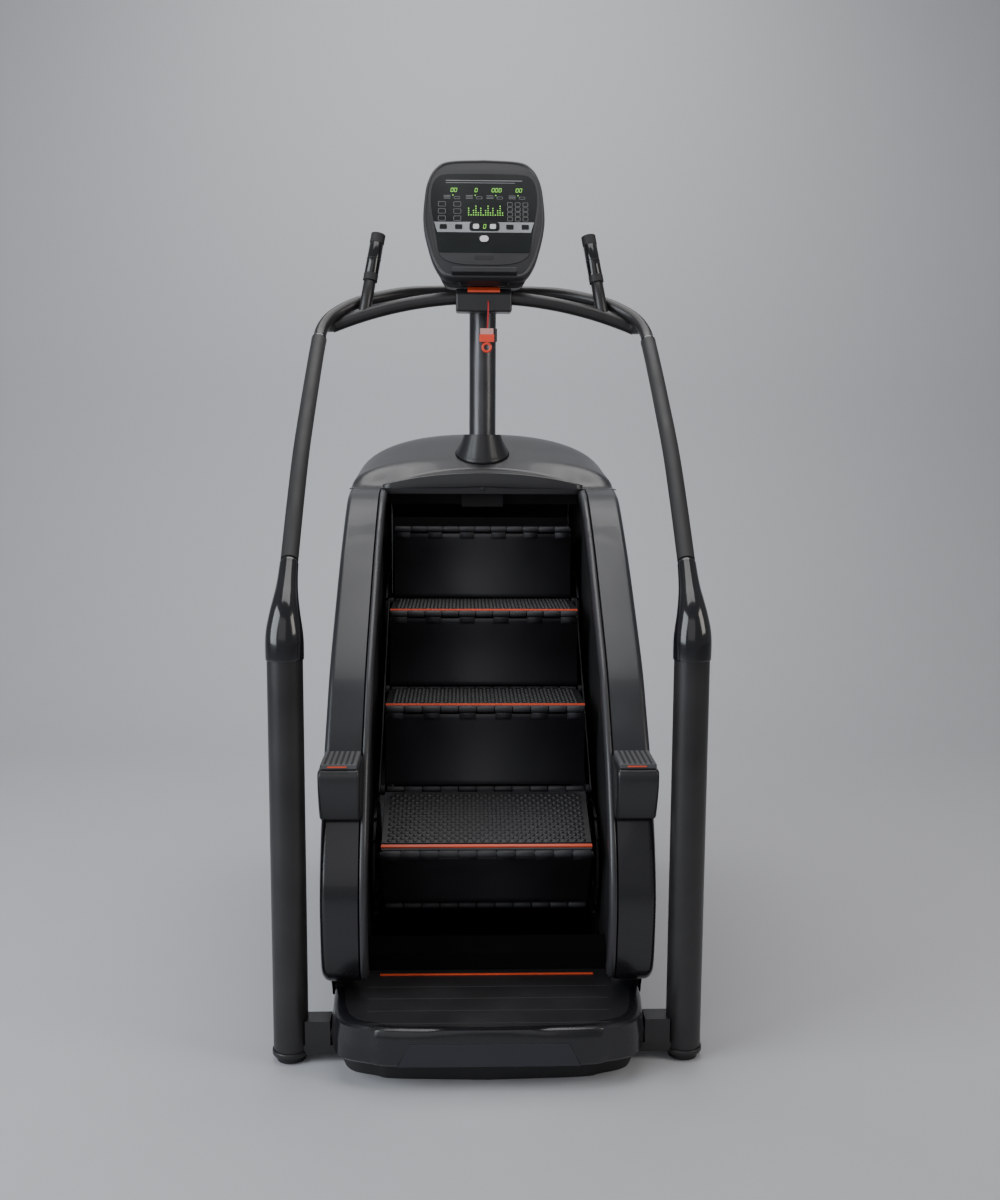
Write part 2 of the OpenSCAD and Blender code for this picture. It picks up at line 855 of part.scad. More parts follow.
module power_inlet() {
    color("Black") difference() {
        translate([-220, 712, 200]) cube([60, 36, 50]);
        translate([-212, 735, 212]) cube([22, 20, 26]);
        translate([-182, 735, 212]) cube([16, 20, 26]);
    }
}

module rocker_switch() {
    color("Red") rocker_cap([742, 225], -181.6, -166.4);
}

// A small rocker cap centred on its pivot.
module rocker_cap(c, x0, x1) {
    rod(c, 12, x0, x1);
    translate([x0, c[0], c[1] - 10]) cube([x1 - x0, 8, 20]);
}

base_frame();
front_feet();
upright(-1);  // upright_left
upright(1);  // upright_right
sleeve(-1);  // sleeve_left
sleeve(1);  // sleeve_right
handrail();
rail_grip(-1);  // grip_left
rail_grip(1);  // grip_right
front_crossbar();
pulse_grip(-1);  // pulse_grip_left
pulse_grip(1);  // pulse_grip_right
mast();
mast_collar();
console_bracket();
console_body();
console_overlay();
start_button();
speed_key(speed_keys[1]);  // speed_up_key
speed_key(speed_keys[0]);  // speed_down_key
stop_bar();
safety_box();
safety_cord();
safety_clip();
clip_lever();
side_shell(-1);  // side_shell_left
side_shell(1);  // side_shell_right
inner_trim(-1);  // inner_trim_left
inner_trim(1);  // inner_trim_right
top_cap();
side_cap(-1);  // side_cap_left
side_cap(1);  // side_cap_right
lower_shell(-1);  // lower_shell_left
lower_shell(1);  // lower_shell_right
rear_cover();
base_skirt();
platform();
platform_insert();
platform_strip();
step_run();
step_strips();
step_chain();
tread_1();
tread_1_strip();
riser_1();
riser_4();
tread_4();
return_run();
lower_shaft();
upper_shaft();
bearings();
drive_belt();
alternator();
alternator_pulley();
wheel(-1);  // wheel_left
wheel(1);  // wheel_right
wheel_axle();
power_inlet();
rocker_switch();
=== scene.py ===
import bmesh
import bpy
import math
from mathutils import Matrix, Vector


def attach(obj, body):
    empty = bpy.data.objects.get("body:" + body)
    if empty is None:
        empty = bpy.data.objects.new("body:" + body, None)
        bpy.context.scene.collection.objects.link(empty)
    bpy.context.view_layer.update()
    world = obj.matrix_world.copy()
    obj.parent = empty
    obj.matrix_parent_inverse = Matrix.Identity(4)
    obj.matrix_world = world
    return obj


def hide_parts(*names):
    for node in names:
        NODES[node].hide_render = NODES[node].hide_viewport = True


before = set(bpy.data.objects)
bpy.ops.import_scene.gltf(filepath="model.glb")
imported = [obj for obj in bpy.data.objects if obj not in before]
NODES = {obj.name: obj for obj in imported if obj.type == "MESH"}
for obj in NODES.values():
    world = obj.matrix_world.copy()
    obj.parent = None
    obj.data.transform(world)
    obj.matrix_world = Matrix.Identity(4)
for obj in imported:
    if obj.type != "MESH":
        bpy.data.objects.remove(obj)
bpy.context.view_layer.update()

# ---------- camera ----------

CAMERA_AT = Vector((-0.0615, -3.4075, 1.41))
PITCH_DOWN = math.radians(7.59)
YAW_RIGHT = math.radians(1.73)
ROLL = math.radians(0.29)


def add_camera():
    data = bpy.data.cameras.new("camera")
    data.lens = 39.0
    data.sensor_width = 36.0
    data.clip_end = 100
    cam = bpy.data.objects.new("camera", data)
    turn = (
        Matrix.Rotation(-YAW_RIGHT, 4, "Z")
        @ Matrix.Rotation(math.pi / 2 - PITCH_DOWN, 4, "X")
        @ Matrix.Rotation(ROLL, 4, "Z")
    )
    cam.matrix_world = Matrix.Translation(CAMERA_AT) @ turn
    bpy.context.scene.collection.objects.link(cam)
    bpy.context.scene.camera = cam


# ---------- materials ----------

COAT_ROUGH = 0.05


def principled(name, colour, rough, metal=0.0, coat=0.0):
    mat = bpy.data.materials.new(name)
    mat.use_nodes = True
    shader = mat.node_tree.nodes["Principled BSDF"]
    shader.inputs["Base Color"].default_value = (*colour, 1)
    shader.inputs["Roughness"].default_value = rough
    shader.inputs["Metallic"].default_value = metal
    shader.inputs["Coat Weight"].default_value = coat
    shader.inputs["Coat Roughness"].default_value = COAT_ROUGH
    return mat, mat.node_tree, shader


def noise(tree, scale, detail=3.0, stretch=(1, 1, 1)):
    coords = tree.nodes.new("ShaderNodeTexCoord")
    mapping = tree.nodes.new("ShaderNodeMapping")
    mapping.inputs["Scale"].default_value = stretch
    tex = tree.nodes.new("ShaderNodeTexNoise")
    tex.inputs["Scale"].default_value = scale
    tex.inputs["Detail"].default_value = detail
    tree.links.new(coords.outputs["Object"], mapping.inputs["Vector"])
    tree.links.new(mapping.outputs["Vector"], tex.inputs["Vector"])
    return tex.outputs["Fac"]


def spread(tree, fac, low, high):
    ramp = tree.nodes.new("ShaderNodeMapRange")
    ramp.inputs["From Min"].default_value = 0.3
    ramp.inputs["From Max"].default_value = 0.7
    ramp.inputs["To Min"].default_value = low
    ramp.inputs["To Max"].default_value = high
    tree.links.new(fac, ramp.inputs["Value"])
    return ramp.outputs["Result"]


def tint(tree, fac, dark, light):
    ramp = tree.nodes.new("ShaderNodeValToRGB")
    ramp.color_ramp.elements[0].position = 0.3
    ramp.color_ramp.elements[0].color = (*dark, 1)
    ramp.color_ramp.elements[1].position = 0.7
    ramp.color_ramp.elements[1].color = (*light, 1)
    tree.links.new(fac, ramp.inputs["Fac"])
    return ramp.outputs["Color"]


def grained(
    name, colour, rough, metal=0.0, coat=0.0, grain=900.0, bump=0.05, vary=0.12, stretch=(1, 1, 1)
):
    """A finish with fine grain: faint colour and gloss variation and a small bump."""
    mat, tree, shader = principled(name, colour, rough, metal, coat)
    broad = noise(tree, 9.0, 4.0)
    dark = [c * (1 - vary) for c in colour]
    light = [min(1, c * (1 + vary)) for c in colour]
    tree.links.new(tint(tree, broad, dark, light), shader.inputs["Base Color"])
    tree.links.new(spread(tree, broad, rough * 0.9, min(1, rough * 1.12)), shader.inputs["Roughness"])
    if bump:
        fine = noise(tree, grain, 2.0, stretch)
        node = tree.nodes.new("ShaderNodeBump")
        node.inputs["Strength"].default_value = bump
        node.inputs["Distance"].default_value = 0.001
        tree.links.new(fine, node.inputs["Height"])
        tree.links.new(node.outputs["Normal"], shader.inputs["Normal"])
    return mat


def glowing(name, colour, strength):
    mat = grained(name, colour, 0.4, bump=0)
    shader = mat.node_tree.nodes["Principled BSDF"]
    shader.inputs["Emission Color"].default_value = (*colour, 1)
    shader.inputs["Emission Strength"].default_value = strength
    return mat


def banded(name, low, high, level, obj):
    """Two plain colours on one CAD node, the upper one above a level in metres."""
    mat, tree, shader = principled(name, low, 0.32, coat=0.3)
    coords = tree.nodes.new("ShaderNodeTexCoord")
    split = tree.nodes.new("ShaderNodeSeparateXYZ")
    above = tree.nodes.new("ShaderNodeMath")
    above.operation = "GREATER_THAN"
    above.inputs[1].default_value = (obj.matrix_world.inverted() @ Vector((0, 0, level))).z
    ramp = tree.nodes.new("ShaderNodeValToRGB")
    ramp.color_ramp.elements[0].color = (*low, 1)
    ramp.color_ramp.elements[1].color = (*high, 1)
    tree.links.new(coords.outputs["Object"], split.inputs["Vector"])
    tree.links.new(split.outputs["Z"], above.inputs[0])
    tree.links.new(above.outputs["Value"], ramp.inputs["Fac"])
    tree.links.new(ramp.outputs["Color"], shader.inputs["Base Color"])
    return mat


LOOK = {
    "clip": banded("clip_orange", (0.80, 0.055, 0.020), (0.62, 0.30, 0.28), 1.6602, NODES["safety_clip"]),
    "panel": grained("panel_plastic", (0.0130, 0.0138, 0.0170), 0.37, coat=0.1, grain=1400, bump=0.04),
    "cap": grained("cap_plastic", (0.0150, 0.0152, 0.0172), 0.36, coat=0.15, grain=1400, bump=0.04),
    "gloss": grained("gloss_black", (0.008, 0.008, 0.010), 0.27, coat=0.25, bump=0, vary=0.2),
    "sleeve": grained("sleeve_black", (0.010, 0.010, 0.012), 0.16, coat=0.5, bump=0),
    "trim": grained("trim_grey", (0.032, 0.032, 0.036), 0.36, coat=0.2),
    "pad": grained("pad_grey", (0.075, 0.075, 0.080), 0.6, grain=700, bump=0.12),
    "insert": grained("insert_blue_black", (0.006, 0.007, 0.013), 0.18, coat=0.4, bump=0),
    # Black strips: painted shade in the pad and deck grooves and in the vent slot; on the grips it is the
    # seam's own dark joint.
    "groove": grained("shade_and_seam_black", (0.012, 0.012, 0.013), 0.7),
    "upright": grained("upright_metal", (0.046, 0.045, 0.046), 0.34, metal=0.6, grain=1800, bump=0.03),
    "mast": grained("mast_metal", (0.085, 0.085, 0.090), 0.33, metal=0.85, coat=0.15, bump=0),
    "frame": grained("frame_steel", (0.008, 0.008, 0.009), 0.5, metal=0.2),
    "grip": grained("grip_rubber", (0.014, 0.014, 0.015), 0.60, grain=520, bump=0.35),
    "contact": grained("contact_plate", (0.022, 0.022, 0.024), 0.14, metal=0.4, coat=0.5, bump=0),
    "rubber": grained("tread_rubber", (0.013, 0.013, 0.014), 0.42, grain=900, bump=0.08),
    "riser": grained("riser_black", (0.026, 0.026, 0.030), 0.56, grain=1200, bump=0.05),
    "orange": grained("edge_orange", (0.72, 0.075, 0.022), 0.38, bump=0.03, vary=0.06),
    "stop": grained("stop_red", (0.78, 0.085, 0.03), 0.28, coat=0.4, bump=0, vary=0.05),
    "console": grained("console_plastic", (0.021, 0.021, 0.024), 0.40, grain=1400, bump=0.05),
    "rim": grained("console_rim", (0.030, 0.030, 0.033), 0.36, bump=0),
    "screen": grained("console_overlay", (0.006, 0.008, 0.008), 0.22, coat=0.3, bump=0, vary=0.2),
    "silver": grained("silver_band", (0.34, 0.35, 0.37), 0.33, metal=0.5, bump=0.02),
    "key": grained("key_white", (0.62, 0.62, 0.64), 0.4, bump=0.02, vary=0.05),
    "digit": glowing("digit_green", (0.28, 0.74, 0.10), 0.75),
    "legend": grained("legend_grey", (0.20, 0.20, 0.21), 0.5, bump=0, vary=0.05),
    "cord": grained("cord_red", (0.50, 0.015, 0.025), 0.6, grain=1500, bump=0.5, stretch=(1, 1, 0.5)),
    "steel": grained("steel", (0.45, 0.45, 0.46), 0.3, metal=1.0, grain=400, bump=0.05, stretch=(12, 1, 1)),
    # Steel darkened to near black: painted shade for the step rollers, the shafts and the bearings, which sit
    # in shade.
    "chain": grained("chain_steel", (0.022, 0.022, 0.024), 0.45, metal=0.5, grain=500, bump=0.1),
    "dark": grained("inner_dark", (0.012, 0.012, 0.013), 0.55),
    # Near-black with its reflection turned down: painted shade for the kick panel, the return run and the
    # sheet under the steps.
    "shade_black": grained("painted_shade_black", (0.003, 0.003, 0.003), 0.85, bump=0),
    "socket": grained("socket_red", (0.30, 0.02, 0.02), 0.4),
}

# Painted shade: this black reflects almost nothing, so the parts under it read as shade.
LOOK["shade_black"].node_tree.nodes["Principled BSDF"].inputs["Specular IOR Level"].default_value = 0.1

# ---------- mesh helpers ----------

BEVEL_ANGLE = math.radians(30)
THICK_WALL = 0.003
THIN_WALL = 0.002


def make(name, verts, faces, look, body="frame", smooth=True, stands_for=()):
    mesh = bpy.data.meshes.new(name)
    mesh.from_pydata([tuple(v) for v in verts], [], faces)
    mesh.validate()
    mesh.update()
    work = bmesh.new()
    work.from_mesh(mesh)
    bmesh.ops.recalc_face_normals(work, faces=work.faces)
    work.to_mesh(mesh)
    work.free()
    obj = bpy.data.objects.new(name, mesh)
    bpy.context.scene.collection.objects.link(obj)
    obj.data.materials.append(LOOK[look])
    if smooth:
        obj.data.shade_smooth()
    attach(obj, body)
    if stands_for:
        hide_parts(*stands_for)
    return obj


def soften(obj, width, segments=3):
    """Rounds the sharp edges and keeps the flat faces flat."""
    bevel = obj.modifiers.new("bevel", "BEVEL")
    bevel.width = width
    bevel.segments = segments
    bevel.limit_method = "ANGLE"
    bevel.angle_limit = BEVEL_ANGLE
    bevel.harden_normals = True
    return obj


def thicken(obj, thickness, offset=-1):
    """Gives a single sheet of faces a wall."""
    wall = obj.modifiers.new("wall", "SOLIDIFY")
    wall.thickness = thickness
    wall.offset = offset


def grid_faces(rows, cols, close_cols=False, offset=0):
    faces = []
    for r in range(rows - 1):
        for c in range(cols if close_cols else cols - 1):
            d = (c + 1) % cols
            faces.append(
                [offset + r * cols + c, offset + r * cols + d,
                 offset + (r + 1) * cols + d, offset + (r + 1) * cols + c]
            )
    return faces


def smooth_line(points, per_span=8):
    """Catmull-Rom curve through points of any dimension."""
    pts = [Vector(p) for p in points]
    pts = [pts[0] * 2 - pts[1]] + pts + [pts[-1] * 2 - pts[-2]]
    out = []
    for i in range(1, len(pts) - 2):
        a, b, c, d = pts[i - 1], pts[i], pts[i + 1], pts[i + 2]
        for k in range(per_span):
            t = k / per_span
            out.append(
                0.5 * (2 * b + (c - a) * t + (2 * a - 5 * b + 4 * c - d) * t * t
                       + (3 * b - a - 3 * c + d) * t ** 3)
            )
    out.append(pts[-2])
    return out


def tube(name, points, radius, look, body="frame", sides=32, stands_for=(), ripple=None):
    """A closed round tube along points; radius is a number or a function of 0 to 1."""
    size = radius if callable(radius) else (lambda t: radius)
    side = Vector((1, 0, 0))
    verts = []
    n = len(points)
    for i, p in enumerate(points):
        ahead = (points[min(i + 1, n - 1)] - points[max(i - 1, 0)]).normalized()
        side = (side - ahead * side.dot(ahead))
        if side.length < 1e-4:
            side = ahead.orthogonal()
        side.normalize()
        other = ahead.cross(side)
        r = size(i / (n - 1))
        for k in range(sides):
            a = 2 * math.pi * k / sides
            rr = r + (ripple(i, k) if ripple else 0)
            verts.append(p + rr * (math.cos(a) * side + math.sin(a) * other))
    faces = grid_faces(n, sides, close_cols=True)
    faces.append(list(range(sides)))
    faces.append([(n - 1) * sides + k for k in range(sides)])
    obj = make(name, verts, faces, look, body, stands_for=stands_for)
    obj.data.set_sharp_from_angle(angle=math.radians(50))
    return obj


def prism(name, outline, x0, x1, look, body="frame", bevel=0.0, stands_for=(), place=None):
    """Outline in (y, z), drawn along X from x0 to x1."""
    n = len(outline)
    verts = [Vector((x0, y, z)) for y, z in outline] + [Vector((x1, y, z)) for y, z in outline]
    if place:
        verts = [place @ v for v in verts]
    faces = [list(range(n)), list(range(2 * n - 1, n - 1, -1))]
    faces += [[i, (i + 1) % n, n + (i + 1) % n, n + i] for i in range(n)]
    obj = make(name, verts, faces, look, body, smooth=False, stands_for=stands_for)
    if bevel:
        soften(obj, bevel)
        obj.data.shade_smooth()
        obj.data.set_sharp_from_angle(angle=math.radians(35))
    return obj


def block(name, low, high, look, body="frame", bevel=0.002, stands_for=(), place=None):
    (x0, y0, z0), (x1, y1, z1) = low, high
    outline = [(y0, z0), (y1, z0), (y1, z1), (y0, z1)]
    return prism(name, outline, x0, x1, look, body, bevel, stands_for, place)


def rounded_box(w, h, r, cx=0.0, cy=0.0, steps=8):
    """Points of a rounded rectangle round a centre."""
    pts = []
    for qx, qy, start in ((1, 1, 0), (-1, 1, 90), (-1, -1, 180), (1, -1, 270)):
        for k in range(steps + 1):
            a = math.radians(start + 90 * k / steps)
            x = cx + qx * (w / 2 - r) + r * math.cos(a)
            y = cy + qy * (h / 2 - r) + r * math.sin(a)
            pts.append((x, y))
    return pts


def mirrored(point, side):
    return Vector((point[0] * side, point[1], point[2]))


SIDES = (("left", -1), ("right", 1))

# ---------- safety cord ----------

CORD_ROUTE = [
    (0.012, 0.232, 1.750), (0.012, 0.225, 1.750), (0.012, 0.218, 1.7495), (0.012, 0.2125, 1.7475),
    (0.012, 0.209, 1.7435), (0.012, 0.2076, 1.738), (0.012, 0.2072, 1.732), (0.012, 0.2072, 1.725),
    (0.0115, 0.2074, 1.718), (0.0115, 0.2077, 1.710), (0.011, 0.2082, 1.703), (0.0107, 0.2089, 1.696),
    (0.0104, 0.2097, 1.690), (0.0101, 0.2104, 1.685), (0.010, 0.211, 1.680), (0.010, 0.2115, 1.6762),
]
CORD_D = 0.004


def add_cord():
    route = [Vector(p) for p in CORD_ROUTE]
    obj = tube("cord_line", route, CORD_D / 2, "cord", sides=16,
               stands_for=("safety_cord",))


# ---------- handrail and uprights ----------

RAIL_X = 0.442
UPRIGHT_Y = -0.629
RAIL = [(RAIL_X, y, z) for y, z in (
    (-0.604, 1.000), (-0.560, 1.076), (-0.527, 1.114), (-0.400, 1.242),
    (-0.275, 1.355), (-0.105, 1.476), (0.055, 1.583), (0.150, 1.641))]
KNEE = [(RAIL_X, 0.150, 1.641), (0.438, 0.188, 1.670), (0.422, 0.220, 1.699), (0.396, 0.248, 1.722),
        (0.352, 0.281, 1.747), (0.296, 0.312, 1.765), (0.215, 0.349, 1.783), (0.120, 0.378, 1.790),
        (0.0, 0.392, 1.793)]
TUBE_R = 0.017
GRIP_R = 0.0195
MAST_Y = 0.412


def add_rails():
    half = smooth_line(RAIL + KNEE[1:], 8)
    whole = [mirrored(p, -1) for p in half] + [mirrored(p, 1) for p in reversed(half[:-1])]

    def knurl(i, k):
        return 0.00035 * ((i + k) % 2)

    tube("handrail_tube", whole, TUBE_R, "upright", stands_for=("handrail",))
    for word, side in SIDES:
        grip = [mirrored(p, side) for p in smooth_line(RAIL[2:], 30)]
        end = len(grip) - 1
        tube(f"grip_sleeve_{word}", grip[:end - 1], GRIP_R, "grip",
             sides=48, stands_for=(f"grip_{word}",), ripple=knurl)
        back = (grip[end - 1] - grip[end]).normalized()
        ring = [grip[end] + back * d for d in (0.0, 0.003, 0.009, 0.012)]
        tube(f"grip_ring_{word}", ring, lambda t: GRIP_R + 0.0012 * math.sin(math.pi * t), "sleeve")


SLEEVE = [  # y, z, radius up the tapered sleeve
    (-0.629, 0.910, 0.0405), (-0.629, 0.914, 0.0416), (-0.629, 0.950, 0.0416), (-0.627, 0.975, 0.0395),
    (-0.618, 1.003, 0.0345), (-0.601, 1.029, 0.0295), (-0.580, 1.054, 0.0250), (-0.560, 1.077, 0.0225),
    (-0.540, 1.100, 0.0211), (-0.533, 1.108, 0.0207), (-0.531, 1.110, 0.0185),
]


def add_uprights():
    for word, side in SIDES:
        line = smooth_line(SLEEVE, 6)
        pts = [Vector((side * RAIL_X, p[0], p[1])) for p in line]
        radii = [p[2] for p in line]
        tube(f"sleeve_cover_{word}", pts, lambda t: radii[round(t * (len(radii) - 1))], "sleeve",
             sides=48, stands_for=(f"sleeve_{word}",))
        x = side * RAIL_X
        foot = [Vector((x, UPRIGHT_Y, z)) for z in (0.0142, 0.016, 0.024, 0.026)]
        tube(f"foot_flange_{word}", foot, lambda t: 0.0419 - 0.002 * (abs(t - 0.5) > 0.4), "upright",
             sides=48)


# ---------- body ----------

SHELL_OUT = 0.374
SHELL_IN = 0.286
WELL_X = 0.283
SPLIT_Z = 0.540
FRONT = [(-0.574, 0.157), (-0.610, 0.173), (-0.633, 0.208), (-0.645, 0.280), (-0.648, 0.373),
         (-0.619, 0.478), (-0.574, 0.566),
         (-0.520, 0.657), (-0.440, 0.755), (-0.352, 0.852), (-0.189, 0.981), (-0.038, 1.092),
         (0.153, 1.208), (0.250, 1.236)]
BACK = [(0.775, 1.236), (0.7968, 1.120), (0.785, 0.700), (0.738, 0.160)]
FOOT_CURVE_Z = 0.206
FOOT_CURVE_X = 0.33
FOOT_INSET = 0.0065
FOOT_CUTS = 6
FOOT_CUT_STEP = 0.0075
TAIL_TOP_Z = 0.166
TAIL_LOW_Z = 0.102
TAIL_STEP_IN = 0.0015
TAIL_LOW_INSET = 0.0170
TAIL_RAKE = 0.012


def shell(name, outline, side, look, corner, stands_for):
    """Side shell: a front face that rounds over into the outer side, as rows across X."""
    line = [Vector((y, z, 0)) for y, z in outline]
    n = len(line)
    middle = Vector((0.15, 0.55, 0))
    rows = []
    steps = 8
    for i, p in enumerate(line):
        along = (line[min(i + 1, n - 1)] - line[max(i - 1, 0)]).normalized()
        inward = Vector((along.y, -along.x, 0))
        if inward.dot(middle - p) < 0:
            inward = -inward
        row = [(SHELL_IN + 0.0005, p + inward * 0.004), (SHELL_IN + 0.003, p)]
        for k in range(steps + 1):
            a = math.pi / 2 * k / steps
            x = SHELL_OUT - corner * (1 - math.sin(a))
            row.append((x, p + inward * corner * (1 - math.cos(a))))
        rows.append(row)
    cols = len(rows[0])
    verts = [(side * x, q.x, q.y) for row in rows for x, q in row]
    faces = grid_faces(n, cols)
    ring = [i * cols + cols - 1 for i in range(n)]
    faces.append(ring)
    obj = make(name, verts, faces, look, stands_for=stands_for)
    obj.data.set_sharp_from_angle(angle=math.radians(40))
    thicken(obj, THICK_WALL)
    normals = obj.modifiers.new("normals", "WEIGHTED_NORMAL")
    normals.keep_sharp = True
    return obj


def draw_in_foot(obj, side):
    """Curves the outer side of a lower shell inward over its last few centimetres."""
    work = bmesh.new()
    work.from_mesh(obj.data)
    for k in range(FOOT_CUTS):
        height = FOOT_CURVE_Z - FOOT_CUT_STEP * k
        bmesh.ops.bisect_plane(work, geom=work.verts[:] + work.edges[:] + work.faces[:],
                               plane_co=(0, 0, height), plane_no=(0, 0, 1))
    depth = FOOT_CURVE_Z - FRONT[0][1]
    for v in work.verts:
        if v.co.z < FOOT_CURVE_Z and abs(v.co.x) > FOOT_CURVE_X:
            v.co.x -= side * FOOT_INSET * ((FOOT_CURVE_Z - v.co.z) / depth) ** 2
    work.to_mesh(obj.data)
    work.free()


def front_line():
    return [(p.x, p.y) for p in smooth_line([(y, z, 0) for y, z in FRONT], 6)]


def cut_line(points, keep):
    """The stretch of a line of (y, z) points on one side of the split height."""
    out = []
    for (y0, z0), (y1, z1) in zip(points, points[1:]):
        if keep(z0):
            out.append((y0, z0))
        if keep(z0) != keep(z1):
            t = (SPLIT_Z - z0) / (z1 - z0)
            out.append((y0 + t * (y1 - y0), SPLIT_Z))
    if keep(points[-1][1]):
        out.append(points[-1])
    return out


# x of the trim's edge and its depth behind the front line
TRIM_SECTION = ((0.2855, 0.004), (0.2850, 0.0006), (0.2745, 0.003), (0.2690, 0.010), (0.2685, 0.030))


def add_shells():
    front = front_line()
    upper = cut_line(front, lambda z: z > SPLIT_Z)
    lower = cut_line(front, lambda z: z <= SPLIT_Z)
    back = smooth_line([(y, z, 0) for y, z in BACK], 4)
    back = [(p.x, p.y) for p in back]
    back_up = cut_line(back, lambda z: z > SPLIT_Z)
    back_low = cut_line(back, lambda z: z <= SPLIT_Z)
    for word, side in SIDES:
        shell(f"side_panel_{word}", upper + back_up, side, "panel", 0.015,
              (f"side_shell_{word}",))
        foot = shell(f"lower_panel_{word}", back_low + lower, side, "gloss", 0.016,
                     (f"lower_shell_{word}",))
        draw_in_foot(foot, side)
        trim = [(y, z) for y, z in front if z > 0.170]
        line = [Vector((y, z, 0)) for y, z in trim]
        verts = []
        for i, p in enumerate(line):
            along = (line[min(i + 1, len(line) - 1)] - line[max(i - 1, 0)]).normalized()
            inward = Vector((along.y, -along.x, 0))
            if inward.x < 0 and inward.y > 0:
                inward = -inward
            for x, d in TRIM_SECTION:
                q = p + inward * d
                verts.append((side * x, q.x, q.y))
        obj = make(f"trim_edge_{word}", verts, grid_faces(len(line), 5), "trim",
                   stands_for=(f"inner_trim_{word}",))
        thicken(obj, THIN_WALL)
        x0, x1 = sorted((side * 0.2845, side * 0.2857))
        inside = [(y + 0.006, z - 0.004) for y, z in front] + back
        prism(f"well_wall_{word}", inside, x0, x1, "dark")


CAP_W = 0.3745
CAP_LIP_Y = 0.286


def cap_height(y):
    ridge = smooth_line([(0.286, 1.284, 0), (0.350, 1.309, 0), (0.440, 1.343, 0), (0.550, 1.383, 0),
                         (0.600, 1.386, 0), (0.640, 1.378, 0), (0.740, 1.330, 0), (0.797, 1.240, 0)], 8)
    for a, b in zip(ridge, ridge[1:]):
        if a.x <= y <= b.x:
            return a.y + (b.y - a.y) * (y - a.x) / (b.x - a.x)
    return ridge[-1].y


def add_cap():
    rows, half = 34, 20
    base = 1.2368
    verts = []
    for r in range(rows + 1):
        t = r / rows
        y = CAP_LIP_Y + (0.797 - CAP_LIP_Y) * t
        rear = max(0.0, (y - 0.560) / 0.237)
        width = CAP_W * (1 - 0.10 * rear ** 3) * (1 - min(0.999, rear) ** 8) ** 0.3
        width = max(width, 0.26)
        for c in range(-half, half + 1):
            a = math.pi / 2 * c / half
            x = math.sin(a) * (1 - 0.12 * math.sin(2 * abs(a)) ** 2)
            drop = (1 - abs(x) ** 2.4) ** 0.46 if abs(x) < 1 else 0.0
            slump = 0.050 * max(0, 1 - t * 6) * min(1, abs(x * CAP_W) / WELL_X) ** 2
            z = base + (cap_height(y) - base) * drop
            z = max(base, z - slump)
            verts.append((x * width, y - 0.030 * max(0, abs(x) - 0.74) / 0.26 * (1 - t), z))
    obj = make("cap_shell", verts, grid_faces(rows + 1, 2 * half + 1), "cap",
               stands_for=("top_cap",))
    thicken(obj, THICK_WALL)
    # Drop face under the lip: arched top edge, straight bottom edge.
    cols = 24
    verts = []
    for c in range(cols + 1):
        x = -WELL_X + 2 * WELL_X * c / cols
        top = 1.281 - 0.034 * abs(x / WELL_X) ** 2.2
        for y, z in ((0.2885, top), (0.2865, top - 0.003), (0.2872, 1.222), (0.2890, 1.219),
                     (0.302, 1.218)):
            verts.append((x, y, z))
    face = make("cap_drop_face", verts, grid_faces(cols + 1, 5), "cap")
    thicken(face, THIN_WALL)
    block("cap_sensor", (-0.006, 0.2848, 1.231), (0.006, 0.288, 1.240), "screen",
          bevel=0.0015)


def add_collar():
    def radius(t):
        return 0.0790 - 0.0240 * t ** 0.8
    tilt, bore = math.radians(20.5), 0.0395
    rings, sides = 12, 64
    verts = []
    for i in range(rings + 1):
        t = i / rings
        r = radius(t)
        for k in range(sides):
            a = 2 * math.pi * k / sides
            low = 1.3345 + r * math.sin(a) * math.tan(tilt)
            z = low * (1 - t) + 1.3875 * t
            verts.append((r * math.cos(a), MAST_Y + r * math.sin(a), z))
    faces = grid_faces(rings + 1, sides, close_cols=True)
    top = rings * sides
    count = len(verts)
    for k in range(sides):
        a = 2 * math.pi * k / sides
        verts.append((bore * math.cos(a), MAST_Y + bore * math.sin(a), 1.3865))
    faces += [[top + k, top + (k + 1) % sides, count + (k + 1) % sides, count + k] for k in range(sides)]
    obj = make("collar_cone", verts, faces, "cap", stands_for=("mast_collar",))
    obj.data.set_sharp_from_angle(angle=math.radians(50))
    thicken(obj, THIN_WALL)


def tail_plan():
    """Half plan of a tail: x, y and how far round the front corner it is."""
    corner, front = 0.016, -0.542
    plan = [(0.2890, -0.500, 0.0), (0.2890, -0.540, 0.0), (SHELL_OUT - corner, front, 0.0)]
    for k in range(1, 7):
        a = math.pi / 2 * k / 6
        turn = 1 - math.cos(a)
        plan.append((SHELL_OUT - corner * (1 - math.sin(a)), front + corner * turn, turn))
    return plan + [(SHELL_OUT, 0.100, 1.0), (SHELL_OUT, 0.690, 1.0), (0.370, 0.702, 1.0),
                   (0.360, 0.708, 1.0), (0.335, 0.710, 1.0)]


def add_tails():
    """The shells' tails: they draw in below the shells, beside the platform and along the frame."""
    plan = tail_plan()
    for word, side in SIDES:
        verts = []
        for inset, z, back in ((FOOT_INSET + TAIL_STEP_IN, TAIL_TOP_Z, 0.0),
                               (TAIL_LOW_INSET, TAIL_LOW_Z, TAIL_RAKE)):
            verts += [(side * (x - inset if x > 0.3 else x), y + back * (1 - turn), z) for x, y, turn in plan]
        tail = make(f"shell_tail_{word}", verts, grid_faces(2, len(plan)), "panel")
        tail.data.set_sharp_from_angle(angle=math.radians(50))
        thicken(tail, THIN_WALL)


